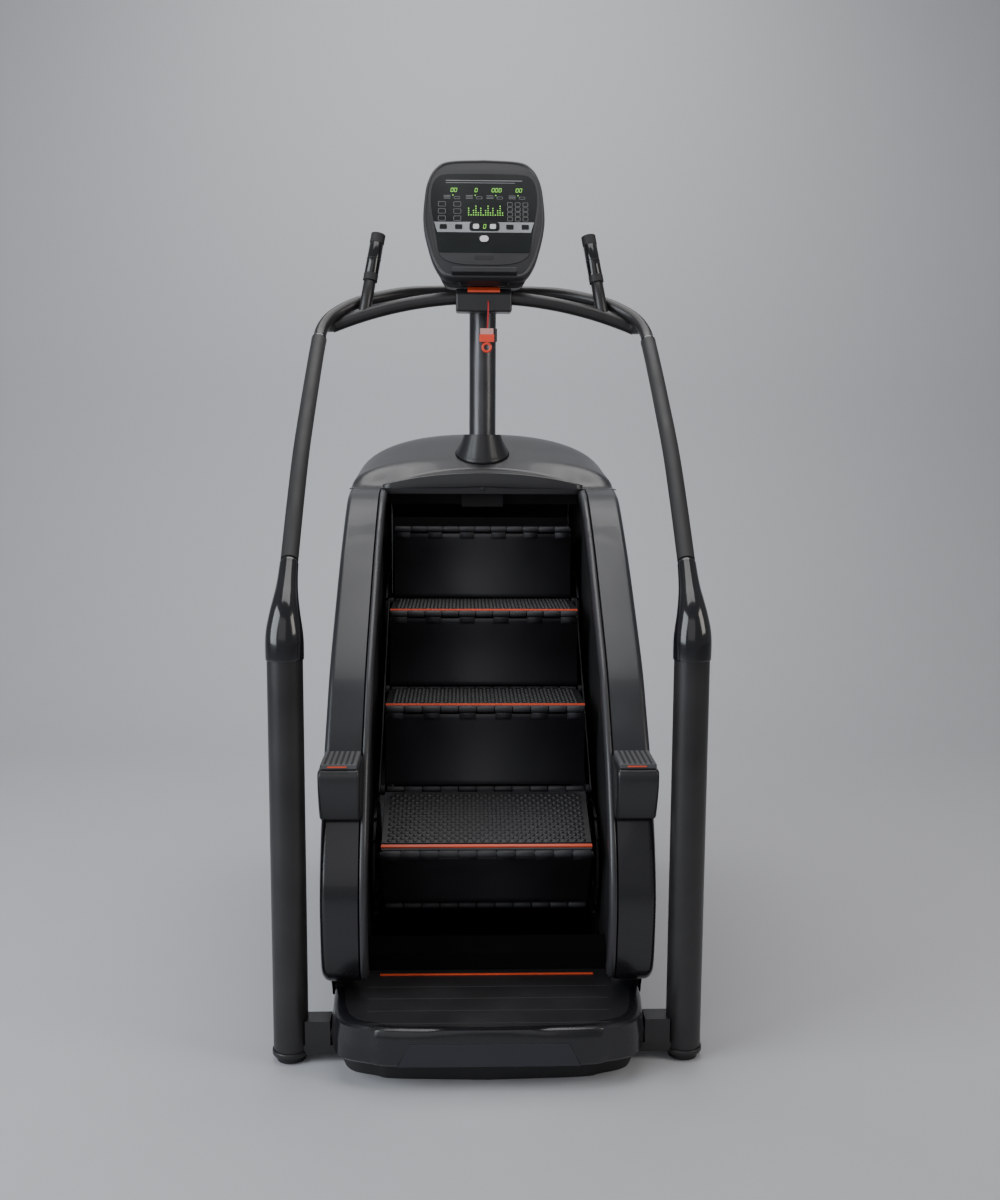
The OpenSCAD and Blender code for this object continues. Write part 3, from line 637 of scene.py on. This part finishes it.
def add_side_caps():
    for word, side in SIDES:
        x0, x1 = sorted((side * 0.2832, side * 0.3755))
        outline = [(-0.502, 0.541), (-0.604, 0.541), (-0.622, 0.575), (-0.638, 0.620), (-0.640, 0.650),
                   (-0.634, 0.664), (-0.502, 0.668)]
        prism(f"foot_cap_{word}", outline, x0, x1, "cap", bevel=0.008,
              stands_for=(f"side_cap_{word}",))
        x0, x1 = sorted((side * 0.289, side * 0.370))
        block(f"foot_pad_{word}", (x0, -0.630, 0.6645), (x1, -0.508, 0.6765), "pad",
              bevel=0.003)
        # The pad's grooves are flat black strips: painted shade.
        for i in range(6):
            x = x0 + 0.008 + 0.0118 * i
            block(f"pad_groove_{word}_{i}", (x, -0.6275, 0.6762), (x + 0.005, -0.512, 0.6775),
                  "groove", bevel=0.0005)
        block(f"pad_line_{word}", (x0 + 0.016, -0.6318, 0.6690), (x1 - 0.022, -0.6285, 0.6720), "orange",
              bevel=0.001)


# ---------- platform ----------


PLATFORM_FRONT = -0.787


def platform_outline(grow):
    w, f = 0.350 + grow, -0.794 - grow
    half = [(w, -0.470), (w, f + 0.194), (w - 0.010, f + 0.104), (w - 0.034, f + 0.049),
            (w - 0.090, f + 0.024), (0.200, f + 0.010), (0.0, f)]
    smooth = smooth_line([(x, y, 0) for x, y in half], 5)
    right = [(p.x, max(p.y, PLATFORM_FRONT - grow / 2)) for p in smooth]
    return right + [(-x, y) for x, y in reversed(right[:-1])]


def level(outline, z):
    return [(x, y, z) for x, y in outline]


def add_platform():
    stack = [(-0.020, 0.1348), (-0.008, 0.1345), (-0.003, 0.1300), (-0.001, 0.1120), (0.0015, 0.0950),
             (0.0020, 0.0880), (0.0022, 0.0600), (-0.003, 0.0535), (-0.010, 0.0520)]
    verts = []
    for grow, z in stack:
        verts += level(platform_outline(grow), z)
    n = len(platform_outline(0))
    faces = grid_faces(len(stack), n, close_cols=True) + [list(range(n))]
    faces.append([(len(stack) - 1) * n + k for k in range(n)])
    obj = make("platform_moulding", verts, faces, "gloss", stands_for=("platform",))
    obj.data.set_sharp_from_angle(angle=math.radians(45))
    inset = [(x, min(-0.470, y + 0.039)) for x, y in platform_outline(-0.015)]
    verts = level(inset, 0.0520) + level(inset, 0.0004)
    plinth = make("platform_plinth", verts, grid_faces(2, n, close_cols=True) + [[n + k for k in range(n)]],
                  "dark")
    plinth.data.set_sharp_from_angle(angle=math.radians(45))
    deck = platform_outline(-0.026)
    verts = level(deck, 0.1340) + level(deck, 0.1352)
    make("platform_deck", verts, grid_faces(2, n, close_cols=True) + [[n + k for k in range(n)]],
         "rubber", smooth=False)
    face = [(-0.171, -0.7886, 0.1055), (0.171, -0.7886, 0.1055), (0.196, -0.7898, 0.0560),
            (-0.196, -0.7898, 0.0560)]
    verts = face + [(x, y + 0.012, z) for x, y, z in face]
    faces = [[0, 1, 2, 3], [4, 5, 6, 7]] + [[k, (k + 1) % 4, 4 + (k + 1) % 4, 4 + k] for k in range(4)]
    panel = make("platform_front_panel", verts, faces, "insert", smooth=False,
                 stands_for=("platform_insert",))
    soften(panel, 0.001)
    block("platform_line", (-0.250, -0.503, 0.1350), (0.250, -0.496, 0.1378), "orange",
          bevel=0.0008, stands_for=("platform_strip",))
    # The deck grooves are flat black strips: painted shade.
    for i in range(4):
        y = -0.752 + 0.062 * i
        half = 0.262 + 0.004 * i
        block(f"platform_groove_{i}", (-half, y, 0.1350), (half, y + 0.004, 0.1358), "groove",
              bevel=0.0004)


# ---------- steps ----------

TREAD = 0.242
RISE = 0.2055
HALF = 0.250
HINGE = [Vector((0, 0.0115 + TREAD * k, 0.712 + RISE * k)) for k in (-1, 0, 1)]
NOSE_UP = Vector((0, 0, RISE))
TILT = math.radians(22.7)
NOSE_1 = HINGE[0] - TREAD * Vector((0, math.cos(TILT), math.sin(TILT)))
RISER_FOOT = Vector((0, -0.3367, 0.2446))
NOSE_4 = Vector((0, 0.2706, 1.122))
DOT_PITCH = 0.0200
KNUCKLES = 11
KNUCKLE_PITCH = 0.045
FIRST_KNUCKLE_X = -0.2475
RISER_WALL = 0.004
FLAP_WALL = 0.0016


def along_frame(a, b):
    """Frame at a: local Y runs to b in the side view, local Z is its upper side."""
    v = b - a
    return Matrix.Translation(a) @ Matrix.Rotation(math.atan2(v.z, v.y), 4, "X")


def dots(name, place, x_half, y0, y1, z, body):
    """Raised round studs in staggered rows."""
    verts, faces = [], []
    sides = 8
    row = 0
    y = y0
    while y <= y1:
        x = -x_half + (DOT_PITCH / 2 if row % 2 else 0)
        while x <= x_half:
            base = len(verts)
            for r, h in ((0.0064, 0.0), (0.0054, 0.0018), (0.0028, 0.0026)):
                for k in range(sides):
                    a = 2 * math.pi * k / sides
                    verts.append(place @ Vector((x + r * math.cos(a), y + r * math.sin(a), z + h)))
            faces += grid_faces(3, sides, close_cols=True, offset=base)
            faces.append([base + 2 * sides + k for k in range(sides)])
            x += DOT_PITCH
        y += DOT_PITCH / 2
        row += 1
    return make(name, verts, faces, "rubber", body)


def tread(index, hinge, nose, body, keep_out=0.012):
    """Pad with rounded rear corners, a nose block and studs."""
    place = along_frame(nose, hinge)
    depth = (hinge - nose).length
    y0, y1 = 0.030, depth - keep_out
    corner = 0.045
    outline = [(-HALF, y0), (HALF, y0)]
    for k in range(9):
        a = math.radians(90 * k / 8)
        outline.append((HALF - corner + corner * math.cos(a), y1 - corner + corner * math.sin(a)))
    for k in range(9):
        a = math.radians(90 + 90 * k / 8)
        outline.append((-HALF + corner + corner * math.cos(a), y1 - corner + corner * math.sin(a)))
    n = len(outline)
    verts = [place @ Vector((x, y, z)) for z in (-0.0060, 0.0085) for x, y in outline]
    faces = [list(range(n)), [n + k for k in range(n)]]
    faces += [[k, (k + 1) % n, n + (k + 1) % n, n + k] for k in range(n)]
    pad = make(f"tread_pad_{index}", verts, faces, "rubber", body, smooth=False)
    soften(pad, 0.0015, 2)
    block(f"nose_block_{index}", (-HALF, 0.009, -0.0060), (HALF, 0.0305, 0.0060), "riser", body,
          place=place)
    dots(f"tread_studs_{index}", place, HALF - 0.020, y0 + 0.008, y1 - 0.012, 0.0085, body)


def riser(index, top, foot, body, bow, node):
    """Concave curved plate between two hinges, with the flaps of its upper hinge."""
    place = along_frame(top, foot)
    length = (foot - top).length
    rows, start, end = 16, 0.0125, length - 0.012
    verts = []
    for r in range(rows + 1):
        t = r / rows
        y = start + (end - start) * t
        z = 0.001 + bow * math.sin(math.pi * t)
        for x in (-HALF, HALF):
            verts.append(place @ Vector((x, y, z)))
    obj = make(f"riser_plate_{index}", verts, grid_faces(rows + 1, 2), "riser", body,
               stands_for=node)
    thicken(obj, RISER_WALL, 0)
    add_flaps(index, place, start, end, bow, body)


def add_flaps(index, place, start, end, bow, body):
    """Square hinge flaps on the front of a riser, under every other knuckle of its top edge."""
    for i in range(0, KNUCKLES, 2):
        x = FIRST_KNUCKLE_X + KNUCKLE_PITCH * i
        verts = []
        for y in (0.0090, start, start + 0.007, start + 0.014):
            t = max(0.0, (y - start) / (end - start))
            z = 0.001 + bow * math.sin(math.pi * t) - 0.0030
            verts += [place @ Vector((x + d, y, z)) for d in (0.0020, 0.0425)]
        flap = make(f"flap_{index}_{i}", verts, grid_faces(4, 2), "riser", body)
        thicken(flap, FLAP_WALL, 0)


def knuckles(index, centre, bodies):
    """Hinge knuckles that alternate between the two leaves."""
    for i in range(KNUCKLES):
        x = FIRST_KNUCKLE_X + KNUCKLE_PITCH * i
        pts = [centre + Vector((x + d, 0, 0)) for d in (0.0008, 0.002, 0.0425, 0.0437)]
        tube(f"knuckle_{index}_{i}", pts, lambda t: 0.0084 if 0.1 < t < 0.9 else 0.0074, "riser",
             bodies[i % 2], sides=20)


def nose_strip(index, hinge, nose, body, node):
    place = along_frame(nose, hinge)
    outline = [(0.015, 0.0056), (0.016, 0.0092), (0.024, 0.0096), (0.025, 0.0056)]
    prism(f"strip_{index}", outline, -HALF, HALF, "orange", body, bevel=0.0006,
          stands_for=node, place=place)


def add_shade_sheet():
    """A thin near-black sheet between the base rails, under the steps: painted shade standing in for the
    shade there.
    """
    block("shade_sheet", (-0.2820, -0.420, 0.1010), (0.2820, 0.580, 0.1030), "shade_black",
          bevel=0.0005)


def add_steps():
    nose_2, nose_3 = HINGE[0] + NOSE_UP, HINGE[1] + NOSE_UP
    tread(2, HINGE[1], nose_2, "step_run")
    tread(3, HINGE[2], nose_3, "step_run")
    tread(1, HINGE[0], NOSE_1, "tread_one", keep_out=0.020)
    nose_strip(2, HINGE[1], nose_2, "step_run", ("step_strips",))
    nose_strip(3, HINGE[2], nose_3, "step_run", ())
    nose_strip(1, HINGE[0], NOSE_1, "tread_one", ("tread_1_strip",))
    riser(1, NOSE_1, RISER_FOOT, "riser_one", 0.016, ("riser_1",))
    riser(2, nose_2, HINGE[0], "step_run", 0.020, ("step_run",))
    riser(3, nose_3, HINGE[1], "step_run", 0.020, ())
    riser(4, NOSE_4, HINGE[2], "riser_four", 0.016, ("riser_4",))
    lines = [(1, NOSE_1, ("riser_one", "tread_one")), (2, nose_2, ("step_run", "step_run")),
             (3, nose_3, ("step_run", "step_run")), (4, NOSE_4, ("tread_four", "riser_four")),
             (5, HINGE[0], ("step_run", "tread_one")), (6, HINGE[1], ("step_run", "step_run")),
             (7, HINGE[2], ("step_run", "step_run")), (8, RISER_FOOT, ("riser_one", "riser_one"))]
    for index, centre, bodies in lines:
        knuckles(index, centre, bodies)
    for i, hinge in enumerate(HINGE):
        for side in (-1, 1):
            pts = [hinge + Vector((side * x, 0, 0)) for x in (0.2515, 0.253, 0.260, 0.2615)]
            # The rollers use the darkened steel: painted shade.
            tube(f"roller_{i}_{(side + 1) // 2}", pts, 0.0125, "chain", "step_run", sides=24)


# ---------- console ----------

CONSOLE = Matrix.Translation((0, 0.180, 1.808)) @ Matrix.Rotation(math.radians(-20), 4, "X")


CONSOLE_HALF = 0.165
CONSOLE_H = 0.352
CONSOLE_SIDE = [(0.53, 0.0), (0.68, 0.020), (0.80, 0.10), (0.895, 0.22), (1.0, 0.45), (0.985, 0.67),
                (0.93, 0.82), (0.80, 0.93), (0.58, 0.985), (0.0, 1.0)]
GLASS_SIDE = [(0.122, 0.0725), (0.126, 0.086), (0.135, 0.150), (0.1445, 0.212), (0.1430, 0.262),
              (0.130, 0.293), (0.100, 0.3055), (0.0, 0.3075)]
FACE_SIDE = [(0.018, 0.0372), (0.060, 0.0388), (0.096, 0.0470), (0.117, 0.0620), (0.1285, 0.0850),
             (0.1420, 0.150), (0.1510, 0.212), (0.1500, 0.262), (0.1370, 0.300), (0.1040, 0.3160),
             (0.0, 0.3190)]


def both_halves(side):
    return side + [(-x, z) for x, z in reversed(side[:-1])]


def console_outline(grow):
    """Rounded face outline: widest above the middle, drawn in at the foot."""
    line = smooth_line([(x, z, 0) for x, z in CONSOLE_SIDE], 5)
    stretch = 1 + 2 * grow / CONSOLE_H
    return both_halves([(p.x * (CONSOLE_HALF + grow), CONSOLE_H * (0.5 + (p.y - 0.5) * stretch))
                        for p in line])


def face_plate(name, outline, y_front, y_back, look, bevel=0.0, stands_for=(), body="frame"):
    """A flat piece on the console face from an outline in (x, z) there."""
    n = len(outline)
    verts = [CONSOLE @ Vector((x, y, z)) for y in (y_front, y_back) for x, z in outline]
    faces = [list(range(n)), [n + k for k in range(n)]]
    faces += [[k, (k + 1) % n, n + (k + 1) % n, n + k] for k in range(n)]
    obj = make(name, verts, faces, look, body, smooth=False, stands_for=stands_for)
    if bevel:
        soften(obj, bevel)
    return obj


def add_console():
    layers = [(-0.010, 0.0005), (-0.003, 0.0015), (0.0, 0.006), (0.0, 0.030), (-0.004, 0.038),
              (-0.022, 0.046), (-0.026, 0.072), (-0.032, 0.080), (-0.045, 0.0838)]
    n = len(console_outline(0))
    verts = [CONSOLE @ Vector((x, y, z)) for grow, y in layers for x, z in console_outline(grow)]
    faces = grid_faces(len(layers), n, close_cols=True)
    faces += [list(range(n)), [(len(layers) - 1) * n + k for k in range(n)]]
    body = make("console_housing", verts, faces, "console",
                stands_for=("console_body",))
    body.data.set_sharp_from_angle(angle=math.radians(40))
    rings = ((-0.001, 0.0040), (-0.0015, -0.0012), (-0.0070, -0.0016), (-0.0085, 0.0015))
    verts = [CONSOLE @ Vector((x, y, z)) for grow, y in rings for x, z in console_outline(grow)]
    make("console_rim", verts, grid_faces(len(rings), n, close_cols=True), "rim")
    holed_plate("console_face", FACE_SIDE, -0.0014, 0.0004, "rim")
    holed_plate("console_glass", GLASS_SIDE, -0.0022, 0.0004, "screen",
                stands_for=("console_overlay",))
    add_readouts()
    add_keys()
    # The vent slot is a flat black patch: painted shade.
    face_plate("vent_slot", rounded_box(0.054, 0.012, 0.005, 0, 0.0579, 4), -0.0019, 0.001, "groove")
    face_plate("ledge_line", rounded_box(0.176, 0.015, 0.004, 0, 0.0145, 4), -0.020, 0.002, "console",
               0.002)
    add_chin()


START_Z = 0.116
START_HOLE_R = 0.0152


def holed_plate(name, side, y_front, y_back, look, stands_for=()):
    """A plate on the console face from its half outline, with the start button's round hole in it."""
    steps = 14
    curve = [(p.x, p.y) for p in smooth_line([(x, z, 0) for x, z in side], 5)]
    arc = []
    for k in range(steps + 1):
        a = math.pi * k / steps
        arc.append((START_HOLE_R * math.sin(a), START_Z + START_HOLE_R * math.cos(a)))
    right = [(0.0, curve[0][1])] + curve + arc
    middle = [abs(x) < 1e-6 for x, z in right]
    points = list(right)
    mirror = []
    for k, (x, z) in enumerate(right):
        mirror.append(k if middle[k] else len(points))
        if not middle[k]:
            points.append((-x, z))
    n = len(points)
    halves = [list(range(len(right))), mirror]
    faces = halves + [[n + k for k in half] for half in halves]
    for half in halves:
        for k, a in enumerate(half):
            after = (k + 1) % len(half)
            if not (middle[k] and middle[after]):
                faces.append([a, half[after], n + half[after], n + a])
    verts = [CONSOLE @ Vector((x, y, z)) for y in (y_front, y_back) for x, z in points]
    return make(name, verts, faces, look, smooth=False, stands_for=stands_for)


FACE_Y = -0.0026


def flat(name, w, h, x, z, look, corner=0.0008, front=FACE_Y, back=-0.002):
    """A small printed or lit patch on the glass."""
    return face_plate(name, rounded_box(w, h, corner, x, z, 2), front, back, look)


def outlined_key(name, w, h, x, z):
    """A dark key with a thin printed edge."""
    flat(f"{name}_edge", w, h, x, z, "legend", 0.0025)
    flat(name, w - 0.0022, h - 0.0022, x, z, "screen", 0.0020, -0.0030)


def add_readouts():
    """Two lines of print, four small numerals with their lists, and a bar chart in the middle."""
    flat("legend_bar_0", 0.210, 0.0026, 0.0, 0.2867, "legend")
    flat("legend_bar_1", 0.190, 0.0017, -0.010, 0.2800, "legend")
    for g, (cx, count) in enumerate(((-0.083, 2), (-0.022, 1), (0.034, 3), (0.095, 2))):
        for d in range(count):
            x = cx + 0.0095 * (d - (count - 1) / 2) - 0.0033
            add_digit(f"digit_{g}_{d}", x, 0.2528, 0.0062, 0.0105)
        flat(f"led_{g}", 0.0030, 0.0030, cx - 0.002, 0.2425, "digit", 0.0013)
        for i in range(3):
            flat(f"legend_{g}_{i}", 0.019, 0.0013, cx - 0.018, 0.2415 - 0.0042 * i, "legend", 0.0005)
        outlined_key(f"key_small_{g}", 0.0165, 0.0075, cx + 0.009, 0.2350)
    flat("matrix_window", 0.104, 0.046, 0.004, 0.1975, "screen", 0.003)
    for c in range(15):
        for r in range(1 + (c * 7 + 3) % 5):
            flat(f"matrix_{c}_{r}", 0.0030, 0.0030, -0.042 + 0.0066 * c, 0.1835 + 0.0066 * r, "digit",
                 0.0012, FACE_Y - 0.0004, -0.0024)


def add_keys():
    """Outlined keys either side of the chart, and the silver band with its keys."""
    for c in range(2):
        for r in range(3):
            outlined_key(f"key_left_{c}_{r}", 0.0205, 0.0145, -0.115 + 0.042 * c, 0.1735 + 0.0212 * r)
    for c in range(3):
        for r in range(4):
            outlined_key(f"key_pad_{c}_{r}", 0.0145, 0.0120, 0.0705 + 0.0212 * c, 0.1720 + 0.0146 * r)
    band = [(-0.136, 0.1625), (0.136, 0.1625), (0.127, 0.1320), (-0.127, 0.1320)]
    face_plate("silver_band", band, -0.0030, -0.002, "silver", 0.0006)
    pod = rounded_box(0.082, 0.0270, 0.008, 0.001, 0.149, 5)
    face_plate("centre_pod", pod, -0.0038, -0.0028, "screen", 0.0004)
    for i, x in enumerate((-0.022, 0.024)):
        face_plate(f"pod_key_{i}", rounded_box(0.0165, 0.0145, 0.004, x, 0.149, 4), -0.0046, -0.0036, "key",
                   0.0004)
    add_digit("digit_centre", -0.0025, 0.1430, 0.0065, 0.0115, -0.0046)
    for i, x in enumerate((-0.111, -0.069, 0.070, 0.112)):
        face_plate(f"band_key_{i}", rounded_box(0.020, 0.0145, 0.003, x, 0.148, 4), -0.0040, -0.0028,
                   "screen", 0.0005)
    disc = rounded_box(0.029, 0.029, 0.01449, 0, START_Z, 8)
    face_plate("start_base", disc, -0.0040, -0.0023, "screen", 0.0004,
               stands_for=("start_button",), body="start_button")
    face_plate("start_cap", rounded_box(0.0245, 0.0185, 0.0092, 0, 0.1125, 8), -0.0050, -0.0038, "key",
               0.0005, body="start_button")


def add_chin():
    """The console's foot: a tapered block under the ledge and the back shell behind the stop box."""
    corners = [(0.088, 0.176, 1.826), (0.088, 0.270, 1.826), (0.064, 0.300, 1.7925), (0.064, 0.240, 1.7925)]
    verts = [(side * x, y, z) for side in (-1, 1) for x, y, z in corners]
    faces = [[0, 1, 2, 3], [4, 5, 6, 7]] + [[k, (k + 1) % 4, 4 + (k + 1) % 4, 4 + k] for k in range(4)]
    chin = make("console_chin", verts, faces, "console", smooth=False)
    soften(chin, 0.006)
    half = smooth_line([(0.070, 1.7895, 0), (0.097, 1.7910, 0), (0.108, 1.7990, 0), (0.122, 1.824, 0),
                        (0.137, 1.872, 0), (0.143, 1.905, 0)], 4)
    rim = [(p.x, p.y) for p in half] + [(-p.x, p.y) for p in reversed(half)]
    n = len(rim)
    rings = ((0.272, 0.97), (0.282, 1.0), (0.322, 1.0), (0.334, 0.94))
    verts = [(x * k, y, z) for y, k in rings for x, z in rim]
    faces = grid_faces(4, n, close_cols=True) + [list(range(n)), [3 * n + k for k in range(n)]]
    foot = make("console_foot", verts, faces, "console")
    foot.data.set_sharp_from_angle(angle=math.radians(40))


def add_digit(name, x, z, w, h, front=-0.0027):
    """A slanted zero on the glass, six bars round an open middle."""
    t = 0.0012
    lean = 0.14
    fill = 0.44
    bars = [(w / 2, h, w, t), (w, h * 0.75, t, h / 2), (w, h / 4, t, h / 2), (w / 2, 0, w, t),
            (0, h / 4, t, h / 2), (0, h * 0.75, t, h / 2)]
    verts, faces = [], []
    for cx, cz, bw, bh in bars:
        n = len(verts)
        corners = [(-1, -1), (1, -1), (1, 1), (-1, 1)]
        for y in (front - 0.0004, -0.0020):
            for sx, sz in corners:
                up = cz + sz * bh * fill
                verts.append(CONSOLE @ Vector((x + cx + sx * bw * fill + lean * up, y, z + up)))
        faces += [[n, n + 1, n + 2, n + 3], [n + 4, n + 5, n + 6, n + 7]]
        faces += [[n + k, n + (k + 1) % 4, n + 4 + (k + 1) % 4, n + 4 + k] for k in range(4)]
    make(name, verts, faces, "digit", smooth=False)


# ---------- carried-over CAD nodes ----------

NODE_LOOK = {
    "base_frame": "frame", "front_feet": "rubber", "upright_left": "upright", "upright_right": "upright",
    "front_crossbar": "upright",
    "mast": "mast", "console_bracket": "frame", "speed_up_key": "key",
    "speed_down_key": "key", "stop_bar": "stop", "safety_clip": "clip",
    "clip_lever": "sleeve", "rear_cover": "panel",
    # The kick panel (base_skirt) and the return run get the near-black painted-shade finish.
    "base_skirt": "shade_black",
    # The step chain gets the plain dark finish, and the shafts and bearings get the darkened steel: painted
    # shade where they sit in shade.
    "step_chain": "dark", "tread_1": "riser", "tread_4": "riser",
    "return_run": "shade_black", "lower_shaft": "chain", "upper_shaft": "chain", "bearings": "chain",
    "drive_belt": "rubber", "alternator": "steel", "alternator_pulley": "steel", "wheel_left": "rubber",
    "wheel_right": "rubber", "wheel_axle": "steel", "power_inlet": "sleeve", "rocker_switch": "socket",
}


def paint_nodes():
    for name, look in NODE_LOOK.items():
        obj = NODES[name]
        if not obj.material_slots:
            obj.data.materials.append(None)
        for slot in obj.material_slots:
            slot.link = "OBJECT"
            slot.material = LOOK[look]


# ---------- stop box and grip details ----------


def add_safety_box():
    outline = [(0.224, 1.722), (0.300, 1.722), (0.300, 1.782), (0.256, 1.788), (0.226, 1.772)]
    prism("stop_housing", outline, -0.077, 0.077, "cap", bevel=0.006,
          stands_for=("safety_box",))


def add_grip_details():
    """Welded crossbar ends, and the dark end caps and lower sleeves of the pulse grips."""
    foot, top = Vector((0.330, 0.250, 1.712)), Vector((0.291, 0.310, 1.940))
    for word, side in SIDES:
        ends = [(0.404, 0.250, 1.6885), (0.414, 0.247, 1.6845), (0.424, 0.236, 1.6830),
                (0.433, 0.218, 1.6830)]
        tube(f"crossbar_end_{word}", smooth_line([mirrored(p, side) for p in ends], 4), 0.0181, "upright")
        a, b = mirrored(foot, side), mirrored(top, side)
        v = b - a
        for part, t0, t1, r, look, slot, node in (
                ("post", 0.0, 0.430, 0.0168, "upright", "upright_metal", ()),
                ("low", 0.415, 0.500, 0.0200, "grip", "grip_rubber", ()),
                ("plate", 0.495, 0.880, 0.0194, "contact", "grip_rubber", (f"pulse_grip_{word}",)),
                ("high", 0.870, 0.985, 0.0200, "grip", "grip_rubber", ())):
            pts = [a + v * (t0 + (t1 - t0) * k) for k in (0.0, 0.02, 0.5, 0.98, 1.0)]
            tube(f"pulse_{part}_{word}", pts, lambda t: r - 0.001 * (t in (0, 1)), look,
                 stands_for=node)
        # A black ring for the seam between the grip pieces: a dark joint.
        seam = [a + v * t for t in (0.676, 0.684)]
        tube(f"pulse_seam_{word}", seam, 0.0197, "groove")


# ---------- studio ----------


def area_light(name, at, target, size, power, colour=(1, 1, 1), size_y=None):
    data = bpy.data.lights.new(name, "AREA")
    data.energy = power
    data.color = colour
    data.shape = "RECTANGLE"
    data.size = size
    data.size_y = size_y or size
    obj = bpy.data.objects.new(name, data)
    obj.location = at
    obj.rotation_euler = (Vector(target) - Vector(at)).to_track_quat("-Z", "Y").to_euler()
    bpy.context.scene.collection.objects.link(obj)


def add_studio():
    size, bend_y, bend_r, bends = 9.0, 2.2, 1.6, 10
    floor = bpy.data.meshes.new("floor")
    depth = [(-6.0, 0.0), (bend_y, 0.0)]
    for k in range(1, bends + 1):
        a = math.pi / 2 * k / bends
        depth.append((bend_y + bend_r * math.sin(a), bend_r - bend_r * math.cos(a)))
    depth.append((3.8, 7.0))
    verts = [(x, y, z - 0.0005) for y, z in depth for x in (-size, size)]
    floor.from_pydata(verts, [], grid_faces(len(depth), 2))
    obj = bpy.data.objects.new("floor", floor)
    bpy.context.scene.collection.objects.link(obj)
    obj.data.materials.append(grained("backdrop", (0.455, 0.460, 0.480), 0.75, grain=30, bump=0, vary=0.01))
    obj.data.shade_smooth()
    area_light("key_left", (-3.2, -2.0, 2.2), (0, 0, 0.8), 2.6, 135, (0.90, 0.95, 1.0), 3.4)
    area_light("fill_right", (3.0, -1.8, 2.4), (0, 0, 0.8), 1.4, 40, (1.0, 0.95, 0.88), 2.2)
    area_light("top", (0, 0.2, 4.2), (0, 0.1, 0), 3.0, 75)
    area_light("front", (-1.0, -5.0, 2.8), (0, 0, 0.6), 4.0, 28)
    area_light("back_wall", (0, 1.8, 4.0), (0, 3.8, 1.6), 3.0, 60)
    world = bpy.data.worlds.new("world")
    world.use_nodes = True
    world.node_tree.nodes["Background"].inputs["Color"].default_value = (0.75, 0.77, 0.8, 1)
    world.node_tree.nodes["Background"].inputs["Strength"].default_value = 0.28
    bpy.context.scene.world = world


add_camera()
add_cord()
add_rails()
add_uprights()
add_shells()
add_cap()
add_collar()
add_side_caps()
add_tails()
add_platform()
add_steps()
add_shade_sheet()
add_console()
add_safety_box()
add_grip_details()
paint_nodes()
add_studio()
